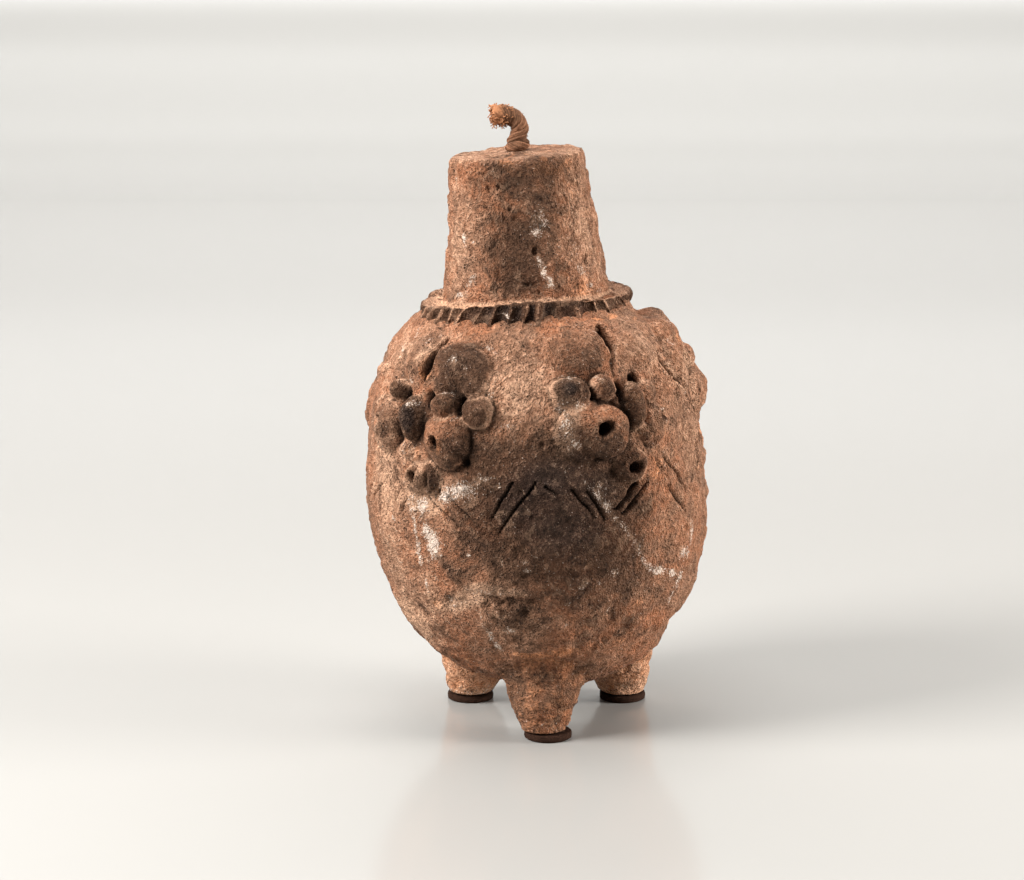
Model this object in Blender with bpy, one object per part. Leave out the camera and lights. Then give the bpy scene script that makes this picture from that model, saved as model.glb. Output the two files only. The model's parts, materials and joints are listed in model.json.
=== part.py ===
"""Clay oil lamp: a hollow egg-shaped jar on three pointed feet, with a closed neck and a wick.

Sizes are in metres, +Z is up and the front looks along -Y. The jar is one piece of fired clay.
The wick through its crown and the felt pads under its feet are pieces of their own. An azimuth
is measured round the jar from the front, positive towards +X.
"""
import math

import bmesh
import bpy
import numpy as np
from mathutils import Matrix, Vector

# Felt pads, which the lamp stands on
PAD_RADIUS = 0.0075
PAD_THICKNESS = 0.0023
JOINT_GAP = 0.0003

# Feet: tapered cones whose tips stand on a circle, each with its sideways shift on its pad
FEET = (("front", -0.0014), ("right", 0.0), ("left", 0.0))
FOOT_CIRCLE_RADIUS = 0.0282
FOOT_TIP_RADIUS = 0.0067
FOOT_ROOT_RADIUS = 0.0158
FOOT_LENGTH = 0.028
FOOT_SPLAY = 0.0062
FOOT_TAPER_POWER = 0.86

# Egg-shaped body
UNDERSIDE_HEIGHT = 0.0125
BELLY_RISE = 0.0585
BELLY_RADIUS = 0.0527
SHOULDER_RISE = 0.0632
LOWER_CURVE = (1.9, 0.352)
UPPER_CURVE = (2.5, 0.27)
WALL = 0.0055

# Neck with its closed crown
NECK_LENGTH = 0.0425
NECK_BASE_RADIUS = 0.0250
CROWN_RADIUS = 0.0206
NECK_FLARE_POWER = 1.2
CROWN_ROUNDING = 0.0034
CROWN_THICKNESS = 0.0058
CROWN_DISH = 0.0006
NECK_BLEND = 0.003

# Notched collar round the foot of the neck
COLLAR_RADIUS = 0.0324
COLLAR_DEPTH = 0.0070
COLLAR_SLOPE = 0.0010
COLLAR_LIP = 0.0009
COLLAR_FLARE = 0.0006
LIP_PRESSED = 0.5
NOTCH_COUNT = 37
NOTCH_DEPTH = 0.0017

# The jar leans to its right: sideways shift of its axis, both as shares of the crown's height
LEAN_HEIGHTS = (0.07, 0.25, 0.42, 0.62, 0.745, 1.0)
LEAN_SHIFTS = (-0.0030, -0.0055, -0.0220, -0.0240, -0.0376, -0.0545)
NECK_TILT = 0.070

# Five clay masks round the shoulder, shaped by hand: azimuth in degrees, height of the mouth,
# then shares for how wide apart, how large and how proud the lumps are
MASKS = (
    (-123.0, 0.0892, 1.00, 0.82, 0.72),
    (-46.0, 0.0850, 1.12, 1.00, 1.00),
    (35.5, 0.0872, 0.93, 1.06, 1.00),
    (101.0, 0.0874, 1.05, 0.74, 0.80),
    (170.0, 0.0890, 1.00, 0.95, 0.90),
)

# Lumps of one mask: sideways place, place above the mouth, half width, half height, proud
BROW = (0.0110, 0.0338, 0.0106, 0.0088, 0.0036)
TEMPLE = (0.0214, 0.0224, 0.0056, 0.0054, 0.0030)
PELLET = (0.0098, 0.0238, 0.0041, 0.0041, 0.0042)
EYE = (0.0134, 0.0124, 0.0088, 0.0086, 0.0056)
NOSE = (0.0, 0.0168, 0.0038, 0.0068, 0.0030)
MOUTH = (0.0, 0.0, 0.0046, 0.0046, 0.0022)
EYE_HOLE_RADIUS = 0.0019
MOUTH_HOLE_RADIUS = 0.0020
HOLE_DEPTH = 0.0042
HOLE_TAPER = 0.6
EYE_HOLE_TURN = 0.0016
SLIT_ABOVE_MOUTH = 0.0367
SLIT_HALF_LENGTH = 0.0066
SLIT_HALF_WIDTH = 0.0010
SLIT_DEPTH = 0.0030

# Belt of paired strokes under the masks
STROKE_PAIRS = 18
STROKE_START = -9.5
STROKE_HEIGHT = 0.0780
STROKE_HALF_LENGTH = 0.0050
STROKE_FRONT_GAIN = 0.0038
STROKE_HALF_WIDTH = 0.0009
STROKE_DEPTH = 0.0016
STROKE_SPACING = 0.0052
STROKE_SLANT = 38.0

# Wick: a cord through the crown that bends over to its right
WICK_RADIUS = 0.0027
WICK_CLEARANCE = 0.0005
WICK_RISE = 0.0108
WICK_REACH = 0.0088
WICK_SWAY = 0.0012
WICK_BELOW_CROWN = 0.012
WICK_FOOT_SPREAD = 1.45
WICK_TIP_SPREAD = 1.3
WICK_DROOP_POWER = 1.3
WICK_LIFT_POWER = 0.8

# Colours and roughness
CLAY = ((0.235, 0.125, 0.075), 0.92)
FELT = ((0.018, 0.013, 0.011), 0.95)
COTTON = ((0.30, 0.165, 0.09), 0.95)

# Sides of the round shapes, and steps along their outlines
JAR_SIDES = 36
JAR_STEPS = 10
CAVITY_SIDES = 18
CAVITY_STEPS = 6
FOOT_SIDES = 12
FOOT_RINGS = 5
PAD_SIDES = 24
HOLE_SIDES = 6
WICK_HOLE_SIDES = 12
WICK_STRAIGHT_STEPS = 4
WICK_BENT_STEPS = 8
WICK_SIDE_STEPS = 2
SMOOTH_ANGLE = 35.0
SURFACE_STEP = 0.001

# Domed lumps: sides, then the angle up the dome of each ring above its sunk foot
LARGE_LUMP = (12, (0, 38, 68, 90))
SMALL_LUMP = (9, (0, 50, 90))
LUMP_SUNK = 0.0030
# Height of a groove's cutter above the wall, past the tallest lump
GROOVE_TOP = 0.0070
# Share of a side by which the added shapes are turned, so that no edge lies on the jar's own
ODD_START = 0.37

# Heights and places worked out from the sizes above
PAD_TOP = PAD_THICKNESS
FOOT_BOTTOM = PAD_TOP + JOINT_GAP
BELLY_HEIGHT = UNDERSIDE_HEIGHT + BELLY_RISE
SHOULDER_TOP = BELLY_HEIGHT + SHOULDER_RISE
COLLAR_TOP = SHOULDER_TOP + COLLAR_SLOPE
CROWN_HEIGHT = COLLAR_TOP + NECK_LENGTH


def clear_scene():
    """Removes every object that the file starts with."""
    for item in list(bpy.data.objects):
        bpy.data.objects.remove(item, do_unlink=True)


def make_material(name, colour, roughness):
    """Makes a plain Principled material."""
    material = bpy.data.materials.new(name)
    material.use_nodes = True
    shader = material.node_tree.nodes["Principled BSDF"]
    shader.inputs["Base Color"].default_value = (*colour, 1.0)
    shader.inputs["Roughness"].default_value = roughness
    shader.inputs["Metallic"].default_value = 0.0
    return material


def smooth_max(first, second, blend):
    """The larger of two values, with a rounded change over a distance of blend."""
    share = max(blend - abs(first - second), 0.0) / blend
    return max(first, second) + share * share * blend / 4


def axis_shift(height):
    """Sideways place of the jar's axis at a height."""
    share = height / CROWN_HEIGHT
    return float(np.interp(share, LEAN_HEIGHTS, LEAN_SHIFTS)) * CROWN_HEIGHT


def tilt(height):
    """Rise of a level ring per metre towards +X: none at the underside, full from the collar up."""
    share = (height - UNDERSIDE_HEIGHT) / (COLLAR_TOP - UNDERSIDE_HEIGHT)
    return NECK_TILT * min(max(share, 0.0), 1.0)


def leaned(radius, azimuth, height):
    """A point given round the axis, carried to its place on the leaning jar."""
    aside = radius * math.sin(azimuth)
    return Vector((axis_shift(height) + aside, -radius * math.cos(azimuth),
                   height + aside * tilt(height)))


def body_radius(height, inset=0.0):
    """Radius of the egg at a height: R (1 - t^a)^b, t from the belly to either end."""
    if height > BELLY_HEIGHT:
        reach, (power, fullness) = SHOULDER_RISE, UPPER_CURVE
    else:
        reach, (power, fullness) = BELLY_RISE, LOWER_CURVE
    share = min(abs(height - BELLY_HEIGHT) / (reach - inset), 1.0)
    return (BELLY_RADIUS - inset) * (1 - share ** power) ** fullness


def neck_radius(height, inset=0.0):
    """Radius of the neck's side at a height, wider towards the collar."""
    share = min(max((CROWN_HEIGHT - height) / NECK_LENGTH, 0.0), 1.0)
    return CROWN_RADIUS + (NECK_BASE_RADIUS - CROWN_RADIUS) * share ** NECK_FLARE_POWER - inset


def jar_radius(height, inset=0.0):
    """Radius of the jar at a height, body and neck together."""
    if height < BELLY_HEIGHT:
        return body_radius(height, inset)
    return smooth_max(body_radius(height, inset), neck_radius(height, inset), NECK_BLEND)


def jar_profile(inset, crown, rounding, steps):
    """Outline from the underside to the crown, as radius and height, inset from the outside."""
    bottom = UNDERSIDE_HEIGHT + inset
    outline = [(0.0, bottom)]
    for turn in np.linspace(0, math.pi / 2, steps + 1)[1:]:
        height = BELLY_HEIGHT - (BELLY_HEIGHT - bottom) * math.cos(turn)
        outline.append((jar_radius(height, inset), height))
    for turn in np.linspace(0, math.pi / 2, steps + 1)[1:-1]:
        height = BELLY_HEIGHT + (SHOULDER_TOP - BELLY_HEIGHT) * math.sin(turn)
        outline.append((jar_radius(height, inset), height))
    for height in np.linspace(SHOULDER_TOP, crown - rounding, steps // 2 + 1):
        outline.append((jar_radius(height, inset), height))
    edge = jar_radius(crown, inset) - rounding
    for turn in (math.pi / 4, math.pi / 2):
        outline.append((edge + rounding * math.cos(turn), crown - rounding * (1 - math.sin(turn))))
    outline.append((0.0, crown - CROWN_DISH))
    return outline


def add_object(name, mesh, material, cutter=False):
    """Puts a mesh into the scene. A cutter or a helper stays out of the finished lamp."""
    mesh.materials.append(material)
    item = bpy.data.objects.new(name, mesh)
    bpy.context.scene.collection.objects.link(item)
    if cutter:
        item.hide_render = True
        item.display_type = "WIRE"
    return item


def mesh_from_bmesh(name, shape):
    """Turns a bmesh into a mesh with its faces out."""
    bmesh.ops.recalc_face_normals(shape, faces=shape.faces)
    mesh = bpy.data.meshes.new(name)
    shape.to_mesh(mesh)
    shape.free()
    return mesh


def bridge_rings(shape, rings):
    """Joins rings of vertices in order with faces, and closes both ends."""
    for lower, upper in zip(rings, rings[1:]):
        count = max(len(lower), len(upper))
        for k in range(count):
            corners = [lower[k % len(lower)], lower[(k + 1) % len(lower)],
                       upper[(k + 1) % len(upper)], upper[k % len(upper)]]
            shape.faces.new(list(dict.fromkeys(corners)))
    for end in (rings[0], rings[-1]):
        if len(end) > 2:
            shape.faces.new(end)


def revolve(name, outline, sides):
    """Turns an outline round the leaning axis into a closed mesh."""
    shape = bmesh.new()
    rings = []
    for radius, height in outline:
        count = sides if radius > 0 else 1
        rings.append([shape.verts.new(leaned(radius, math.tau * k / sides, height))
                      for k in range(count)])
    bridge_rings(shape, rings)
    return mesh_from_bmesh(name, shape)


def surface_frame(azimuth, height):
    """Frame on the jar's surface: across to the right, up the wall, and straight out."""
    radius = jar_radius(height)
    spot = leaned(radius, azimuth, height)
    beside = leaned(radius, azimuth + SURFACE_STEP / radius, height)
    above = leaned(jar_radius(height + SURFACE_STEP), azimuth, height + SURFACE_STEP)
    across = (beside - spot).normalized()
    outward = across.cross(above - spot).normalized()
    upward = outward.cross(across)
    frame = Matrix((across, upward, outward)).transposed().to_4x4()
    frame.translation = spot
    return frame


def lump(name, frame, half_width, half_height, proud, material):
    """A rounded lump of clay pressed on the wall: a dome whose foot is sunk in it."""
    sides, climb = LARGE_LUMP if half_width > TEMPLE[2] else SMALL_LUMP
    levels = [(1.0, -LUMP_SUNK)]
    levels += [(math.cos(math.radians(angle)), proud * math.sin(math.radians(angle)))
               for angle in climb]
    shape = bmesh.new()
    rings = []
    for spread, rise in levels:
        ring = []
        for k in range(sides if len(rings) < len(climb) else 1):
            turn = math.tau * (k + ODD_START) / sides
            aside, up = half_width * spread * math.cos(turn), half_height * spread * math.sin(turn)
            sag = (aside * aside + up * up) / (2 * BELLY_RADIUS)
            ring.append(shape.verts.new(frame @ Vector((aside, up, rise - sag))))
        rings.append(ring)
    bridge_rings(shape, rings)
    return add_object(name, mesh_from_bmesh(name, shape), material, cutter=True)


def stick_hole(name, frame, radius, depth, material):
    """A round blind hole pressed in with a stick, cut from just above the surface."""
    shape = bmesh.new()
    bmesh.ops.create_cone(shape, cap_ends=True, segments=HOLE_SIDES,
                          radius1=HOLE_TAPER * radius, radius2=radius, depth=2 * depth,
                          matrix=frame)
    return add_object(name, mesh_from_bmesh(name, shape), material, cutter=True)


def gouge(name, frame, half_width, half_length, depth, material):
    """A pointed groove: a long diamond in plan, sunk by depth and open above any lump it meets."""
    shape = bmesh.new()
    shape.verts.new(frame @ Vector((0, 0, -depth)))
    for aside, up in ((half_width, 0), (0, half_length), (-half_width, 0), (0, -half_length)):
        for level in (0, GROOVE_TOP):
            shape.verts.new(frame @ Vector((aside, up, level)))
    bmesh.ops.convex_hull(shape, input=shape.verts)
    return add_object(name, mesh_from_bmesh(name, shape), material, cutter=True)


def foot_place(number, circle_radius, height):
    """A point on a circle round the middle of the feet, in the direction of one foot."""
    azimuth = math.tau * number / len(FEET)
    return Vector((circle_radius * math.sin(azimuth), -circle_radius * math.cos(azimuth), height))


def make_foot(number, material):
    """A tapered foot that leans outwards, from its tip to its root inside the wall."""
    label, shift = FEET[number]
    shape = bmesh.new()
    rings = []
    for ring in range(FOOT_RINGS):
        share = ring / (FOOT_RINGS - 1)
        radius = FOOT_TIP_RADIUS + (FOOT_ROOT_RADIUS - FOOT_TIP_RADIUS) * share ** FOOT_TAPER_POWER
        centre = foot_place(number, FOOT_CIRCLE_RADIUS - FOOT_SPLAY * share,
                            FOOT_BOTTOM + FOOT_LENGTH * share) + Vector((shift, 0, 0))
        turns = [math.tau * (k + ODD_START) / FOOT_SIDES for k in range(FOOT_SIDES)]
        rings.append([shape.verts.new(centre + radius * Vector((math.cos(turn), math.sin(turn), 0)))
                      for turn in turns])
    bridge_rings(shape, rings)
    name = f"foot_shape_{label}"
    return add_object(name, mesh_from_bmesh(name, shape), material, cutter=True)


def make_collar(material):
    """The notched collar: a strip round the neck whose outer edge is pressed in at each notch."""
    section = (
        (NECK_BASE_RADIUS - WALL / 2, COLLAR_TOP, 0.0),
        (NECK_BASE_RADIUS, COLLAR_TOP, 0.0),
        (COLLAR_RADIUS - COLLAR_LIP, COLLAR_TOP - COLLAR_SLOPE, LIP_PRESSED),
        (COLLAR_RADIUS, COLLAR_TOP - COLLAR_SLOPE - COLLAR_LIP, 1.0),
        (COLLAR_RADIUS + COLLAR_FLARE, COLLAR_TOP - COLLAR_DEPTH, 1.0),
        (NECK_BASE_RADIUS - WALL / 2, COLLAR_TOP - COLLAR_DEPTH, 0.0),
    )
    shape = bmesh.new()
    columns = []
    for k in range(2 * NOTCH_COUNT):
        azimuth = math.pi * (k + ODD_START) / NOTCH_COUNT
        pressed = NOTCH_DEPTH * (k % 2)
        columns.append([shape.verts.new(leaned(radius - pressed * share, azimuth, height))
                        for radius, height, share in section])
    for column, beside in zip(columns, columns[1:] + columns[:1]):
        for k in range(len(section)):
            after = (k + 1) % len(section)
            shape.faces.new((column[k], column[after], beside[after], beside[k]))
    return add_object("collar_shape", mesh_from_bmesh("collar_shape", shape), material, cutter=True)


def mask_spot(azimuth, mouth_height, aside, above):
    """Frame on the wall at a place measured from a mask's mouth."""
    height = mouth_height + above
    return surface_frame(azimuth + aside / jar_radius(height), height)


def make_mask(number, material, added, cut):
    """The lumps, stick holes and slit of one clay mask."""
    degrees, mouth_height, apart, size, boldness = MASKS[number]
    azimuth = math.radians(degrees)
    for label, (aside, above, width, height, proud) in (
            ("brow", BROW), ("temple", TEMPLE), ("pellet", PELLET), ("eye", EYE),
            ("nose", NOSE), ("mouth", MOUTH)):
        for side in (-1, 1) if aside > 0 else (1,):
            frame = mask_spot(azimuth, mouth_height, side * apart * aside, above)
            name = f"{label}_{number}_{side}"
            added.append(lump(name, frame, size * width, size * height,
                              boldness * proud, material))
            if label == "eye":
                hole = frame @ Matrix.Translation((-side * EYE_HOLE_TURN, 0, boldness * proud))
                cut.append(stick_hole(f"{name}_hole", hole, EYE_HOLE_RADIUS, HOLE_DEPTH, material))
    proud = boldness * MOUTH[4]
    frame = mask_spot(azimuth, mouth_height, 0.0, 0.0) @ Matrix.Translation((0, 0, proud))
    cut.append(stick_hole(f"mouth_hole_{number}", frame, MOUTH_HOLE_RADIUS, HOLE_DEPTH, material))
    frame = mask_spot(azimuth, mouth_height, 0.0, SLIT_ABOVE_MOUTH)
    cut.append(gouge(f"slit_{number}", frame, SLIT_HALF_WIDTH, SLIT_HALF_LENGTH,
                     SLIT_DEPTH, material))


def make_strokes(material):
    """Pairs of slanting strokes round the belly, leaning one way and then the other."""
    strokes = []
    for pair in range(STROKE_PAIRS):
        azimuth = math.radians(STROKE_START) + math.tau * pair / STROKE_PAIRS
        half_length = STROKE_HALF_LENGTH + STROKE_FRONT_GAIN * max(math.cos(azimuth), 0.0)
        slant = -STROKE_SLANT if pair % 2 == 0 else STROKE_SLANT
        turned = surface_frame(azimuth, STROKE_HEIGHT) @ Matrix.Rotation(
            math.radians(slant), 4, "Z")
        for side in (-0.5, 0.5):
            frame = turned @ Matrix.Translation((side * STROKE_SPACING, 0, 0))
            strokes.append(gouge(f"stroke_{pair}_{side}", frame, STROKE_HALF_WIDTH,
                                 half_length, STROKE_DEPTH, material))
    return strokes


def make_cavity(material):
    """The hollow of the jar, with the wick hole through the crown."""
    ceiling = CROWN_HEIGHT - CROWN_THICKNESS
    outline = jar_profile(WALL, ceiling, CROWN_ROUNDING, CAVITY_STEPS)
    hollow = add_object("hollow", revolve("hollow", outline, CAVITY_SIDES), material, cutter=True)
    top, bottom = CROWN_HEIGHT + WICK_RADIUS, ceiling - WICK_RADIUS
    shape = bmesh.new()
    middle = Matrix.Translation((axis_shift(CROWN_HEIGHT), 0, (top + bottom) / 2))
    bmesh.ops.create_cone(shape, cap_ends=True, segments=WICK_HOLE_SIDES,
                          radius1=WICK_RADIUS + WICK_CLEARANCE,
                          radius2=WICK_RADIUS + WICK_CLEARANCE,
                          depth=top - bottom, matrix=middle)
    hole = add_object("wick_hole", mesh_from_bmesh("wick_hole", shape), material, cutter=True)
    return [hollow, hole]


def combine(target, operation, shapes, label):
    """Adds or cuts many shapes on a piece with one exact Boolean."""
    group = bpy.data.collections.new(label)
    for shape in shapes:
        group.objects.link(shape)
    modifier = target.modifiers.new(label, "BOOLEAN")
    modifier.operation = operation
    modifier.solver = "EXACT"
    modifier.operand_type = "COLLECTION"
    modifier.collection = group
    return modifier


def make_jar():
    """The whole fired-clay jar: body, neck, feet, collar, masks and strokes in one piece."""
    clay = make_material("Fired clay", *CLAY)
    outline = jar_profile(0.0, CROWN_HEIGHT, CROWN_ROUNDING, JAR_STEPS)
    jar = add_object("jar", revolve("jar", outline, JAR_SIDES), clay)
    added = [make_collar(clay)] + [make_foot(number, clay) for number in range(len(FEET))]
    cut = make_strokes(clay)
    for number in range(len(MASKS)):
        make_mask(number, clay, added, cut)
    combine(jar, "UNION", added, "clay_added")
    combine(jar, "DIFFERENCE", cut, "tool_marks")
    combine(jar, "DIFFERENCE", make_cavity(clay), "hollow_inside")
    return jar


def make_pads():
    """A round felt pad under each foot."""
    felt = make_material("Felt", *FELT)
    pads = []
    for number, (label, _) in enumerate(FEET):
        shape = bmesh.new()
        middle = foot_place(number, FOOT_CIRCLE_RADIUS, PAD_THICKNESS / 2)
        bmesh.ops.create_cone(shape, cap_ends=True, segments=PAD_SIDES, radius1=PAD_RADIUS,
                              radius2=PAD_RADIUS, depth=PAD_THICKNESS,
                              matrix=Matrix.Translation(middle))
        name = f"felt_pad_{label}"
        pads.append(add_object(name, mesh_from_bmesh(name, shape), felt))
    return pads


def wick_route():
    """Points up the wick with a width share at each: up the hole, a sway, then bent right over."""
    base = leaned(0.0, 0.0, CROWN_HEIGHT)
    rest = WICK_RADIUS * WICK_FOOT_SPREAD * NECK_TILT + 2 * JOINT_GAP
    route = [(base - Vector((0, 0, below)), 1.0)
             for below in np.linspace(WICK_BELOW_CROWN, 0, WICK_STRAIGHT_STEPS)]
    route.append((base + Vector((0, 0, rest)), WICK_FOOT_SPREAD))
    bend_start = rest + WICK_RADIUS
    for turn in np.linspace(0, math.pi / 2, WICK_BENT_STEPS):
        droop = (1 - math.cos(turn)) ** WICK_DROOP_POWER
        aside = WICK_SWAY - (WICK_SWAY + WICK_REACH) * droop
        lift = bend_start + (WICK_RISE - bend_start) * math.sin(turn) ** WICK_LIFT_POWER
        spread = 1.0 + (WICK_TIP_SPREAD - 1.0) * (turn / (math.pi / 2)) ** 2
        route.append((base + Vector((aside, 0, lift)), spread))
    return route


def make_wick():
    """The cotton wick as a tube along its route."""
    cotton = make_material("Cotton wick", *COTTON)
    route = wick_route()
    curve = bpy.data.curves.new("wick", "CURVE")
    curve.dimensions = "3D"
    curve.bevel_depth = WICK_RADIUS
    curve.bevel_resolution = WICK_SIDE_STEPS
    curve.use_fill_caps = True
    spline = curve.splines.new("POLY")
    spline.points.add(len(route) - 1)
    for point, (place, spread) in zip(spline.points, route):
        point.co = (*place, 1.0)
        point.radius = spread
    return add_object("wick", curve, cotton)


def outer_box(pieces):
    """Lowest and highest corner of the finished pieces."""
    graph = bpy.context.evaluated_depsgraph_get()
    corners = []
    for item in pieces:
        mesh = item.evaluated_get(graph).to_mesh()
        places = np.empty(3 * len(mesh.vertices))
        mesh.vertices.foreach_get("co", places)
        places = places.reshape(-1, 3)
        corners += [places.min(axis=0), places.max(axis=0)]
        item.evaluated_get(graph).to_mesh_clear()
    return np.min(corners, axis=0), np.max(corners, axis=0)


def centre_footprint(pieces):
    """Hangs everything on one empty and sets the middle of the lamp's box over the origin."""
    lowest, highest = outer_box(pieces)
    middle = (lowest + highest) / 2
    holder = bpy.data.objects.new("lamp", None)
    for item in bpy.data.objects:
        if item is not holder:
            item.parent = holder
    bpy.context.scene.collection.objects.link(holder)
    holder.location = (-middle[0], -middle[1], -lowest[2])


def main():
    """Builds the lamp."""
    clear_scene()
    jar = make_jar()
    pieces = [jar, *make_pads(), make_wick()]
    jar.data.shade_smooth()
    jar.data.set_sharp_from_angle(angle=math.radians(SMOOTH_ANGLE))
    centre_footprint(pieces)


main()
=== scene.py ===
# %% [markdown]
# # A clay oil lamp
# The lamp is a hollow, egg-shaped jar of rough fired clay on three pointed feet. Five clay masks
# sit round its shoulder, a belt of paired strokes runs under them, and a tall neck with a closed
# crown holds a twisted wick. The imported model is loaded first: it fixes where everything is.

import itertools
import json
import math

import bpy
import numpy as np
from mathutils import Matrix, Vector

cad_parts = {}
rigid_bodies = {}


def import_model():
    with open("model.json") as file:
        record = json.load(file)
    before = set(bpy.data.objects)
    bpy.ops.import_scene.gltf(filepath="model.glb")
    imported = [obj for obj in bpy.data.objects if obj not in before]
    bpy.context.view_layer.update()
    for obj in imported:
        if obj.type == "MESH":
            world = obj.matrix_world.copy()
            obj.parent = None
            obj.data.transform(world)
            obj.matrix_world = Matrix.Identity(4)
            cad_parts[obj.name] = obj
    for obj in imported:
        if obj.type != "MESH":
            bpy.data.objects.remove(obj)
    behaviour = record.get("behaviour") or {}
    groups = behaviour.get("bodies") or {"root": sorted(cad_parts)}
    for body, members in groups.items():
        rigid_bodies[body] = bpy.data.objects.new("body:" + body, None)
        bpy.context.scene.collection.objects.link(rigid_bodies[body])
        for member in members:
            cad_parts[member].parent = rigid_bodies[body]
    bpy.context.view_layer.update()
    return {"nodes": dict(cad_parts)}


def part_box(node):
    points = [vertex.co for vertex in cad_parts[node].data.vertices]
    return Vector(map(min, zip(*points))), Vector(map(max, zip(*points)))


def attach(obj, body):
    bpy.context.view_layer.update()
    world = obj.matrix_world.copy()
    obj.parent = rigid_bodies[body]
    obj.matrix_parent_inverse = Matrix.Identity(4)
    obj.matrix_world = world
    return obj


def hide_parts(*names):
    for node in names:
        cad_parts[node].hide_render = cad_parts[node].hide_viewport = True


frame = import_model()
print("nodes:", ", ".join(sorted(frame["nodes"])))

# %% [markdown]
# Shapes are worked out in millimetres, with the middle of the three feet at zero, because that is
# how a potter would measure them. One function carries them to metres and to the model's place,
# which is read from the front felt pad.

# %% Where the lamp stands
MM = 0.001
FEET_CIRCLE = 28.2
pad_low, pad_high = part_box("felt_pad_front")
ORIGIN = np.array([(pad_low.x + pad_high.x) / 2,
                   (pad_low.y + pad_high.y) / 2 + FEET_CIRCLE * MM, 0])


def in_metres(points):
    """Points in millimetres from the middle of the feet, in metres in the model's frame."""
    return points * MM + ORIGIN


print("middle of the feet at", ORIGIN.round(4))

# %% [markdown]
# The camera comes next. It stands 0.9 m in front, looks down by less than twelve degrees, and its
# long lens keeps the jar's outline calm.

# %% Camera
CAMERA_PLACE = np.array([-11.08, -914.97, 276.87])
CAMERA_DROP = 11.693
FOCAL_PIXELS = 3000.0
FRAME_WIDTH = 1024
SENSOR = 36.0
camera_data = bpy.data.cameras.new("camera")
camera_data.sensor_width = SENSOR
camera_data.lens = FOCAL_PIXELS / FRAME_WIDTH * SENSOR
camera = bpy.data.objects.new("camera", camera_data)
camera.location = in_metres(CAMERA_PLACE)
camera.rotation_euler = (math.radians(90 - CAMERA_DROP), 0, 0)
bpy.context.scene.collection.objects.link(camera)
bpy.context.scene.camera = camera
print("lens", round(camera_data.lens, 1), "mm")

# %% [markdown]
# A studio needs little: a pale floor that curves up behind, one large soft light on each side so
# that both edges of the dark jar catch light, a weak one above and a wide one for the backdrop.
# The right light is weaker, so every lump keeps its shadow on the right.

# %% Stage and lights
FLOOR_FRONT, FLOOR_BACK, FLOOR_HALF, SWEEP, BACKDROP_TOP = -1.6, 1.3, 2.4, 0.5, 2.2
SKY_COLOUR, SKY_STRENGTH = (1.0, 0.985, 0.965, 1.0), 0.15
LIGHTS = (
    # name, spot, aim, width and height, power, colour
    ("light_left", (-0.78, -0.34, 0.62), (0.0, 0.0, 0.09), (0.42, 0.54), 26.5, (1.0, 0.97, 0.93)),
    ("light_right", (0.88, -0.12, 0.29), (0.0, 0.0, 0.09), (0.36, 0.54), 17.0, (1.0, 0.955, 0.90)),
    ("light_above", (-0.10, -0.05, 1.10), (0.0, 0.0, 0.12), (0.60, 0.50), 7.9, (1.0, 0.99, 0.97)),
    ("light_backdrop", (0.0, 1.35, 1.3), (0.0, 1.35, 0.0), (2.6, 0.7), 50.0, (1.0, 0.995, 0.98)),
)


def floor_outline(steps=24):
    """Floor and backdrop seen from the side: flat, a quarter circle of radius SWEEP, upright."""
    turn = np.linspace(0, math.pi / 2, steps)
    bend = np.stack([FLOOR_BACK + SWEEP * np.sin(turn), SWEEP - SWEEP * np.cos(turn)], -1)
    return np.concatenate([[[FLOOR_FRONT, 0.0]], bend, [[FLOOR_BACK + SWEEP, BACKDROP_TOP]]])


def make_floor():
    """The outline carried from one side to the other."""
    line = floor_outline()
    sides = [np.insert(line, 0, side, axis=1) for side in (-FLOOR_HALF, FLOOR_HALF)]
    count = len(line)
    faces = [(k, k + 1, count + k + 1, count + k) for k in range(count - 1)]
    mesh = bpy.data.meshes.new("floor")
    mesh.from_pydata(np.concatenate(sides).tolist(), [], faces)
    mesh.flip_normals()
    mesh.shade_smooth()
    floor = bpy.data.objects.new("floor", mesh)
    bpy.context.scene.collection.objects.link(floor)
    return floor


floor = make_floor()
for name, spot, aim, (width, height), power, colour in LIGHTS:
    lamp = bpy.data.lights.new(name, "AREA")
    lamp.shape = "RECTANGLE"
    lamp.size, lamp.size_y = width, height
    lamp.energy = power
    lamp.color = colour
    holder = bpy.data.objects.new(name, lamp)
    holder.location = spot
    holder.rotation_euler = (Vector(aim) - Vector(spot)).to_track_quat("-Z", "Y").to_euler()
    bpy.context.scene.collection.objects.link(holder)
world = bpy.data.worlds.new("studio")
world.use_nodes = True
sky = world.node_tree.nodes["Background"]
sky.inputs["Color"].default_value = SKY_COLOUR
sky.inputs["Strength"].default_value = SKY_STRENGTH
bpy.context.scene.world = world
bpy.context.scene.view_settings.view_transform = "Standard"
print("lights:", len(LIGHTS))

# %% [markdown]
# Hand-built clay is never smooth. Its unevenness is noise that depends on the place in space, so
# pieces that meet get the same bumps. Numbers come from a fixed mixing of whole numbers, which
# gives the same jar on every run.

# %% Noise
def lattice(cell, seed):
    """A fixed number from -1 to 1 for each whole-numbered cell, by multiplying and mixing bits."""
    mixed = (cell[..., 0] * 73856093) ^ (cell[..., 1] * 19349663) ^ (cell[..., 2] * 83492791)
    mixed = (mixed + seed * 2654435761) & 0x7FFFFFFF
    mixed = ((mixed ^ (mixed >> 13)) * 1274126177) & 0x7FFFFFFF
    mixed = ((mixed ^ (mixed >> 15)) * 668265263) & 0x7FFFFFFF
    return (mixed ^ (mixed >> 16)) / 0x7FFFFFFF * 2 - 1


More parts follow.
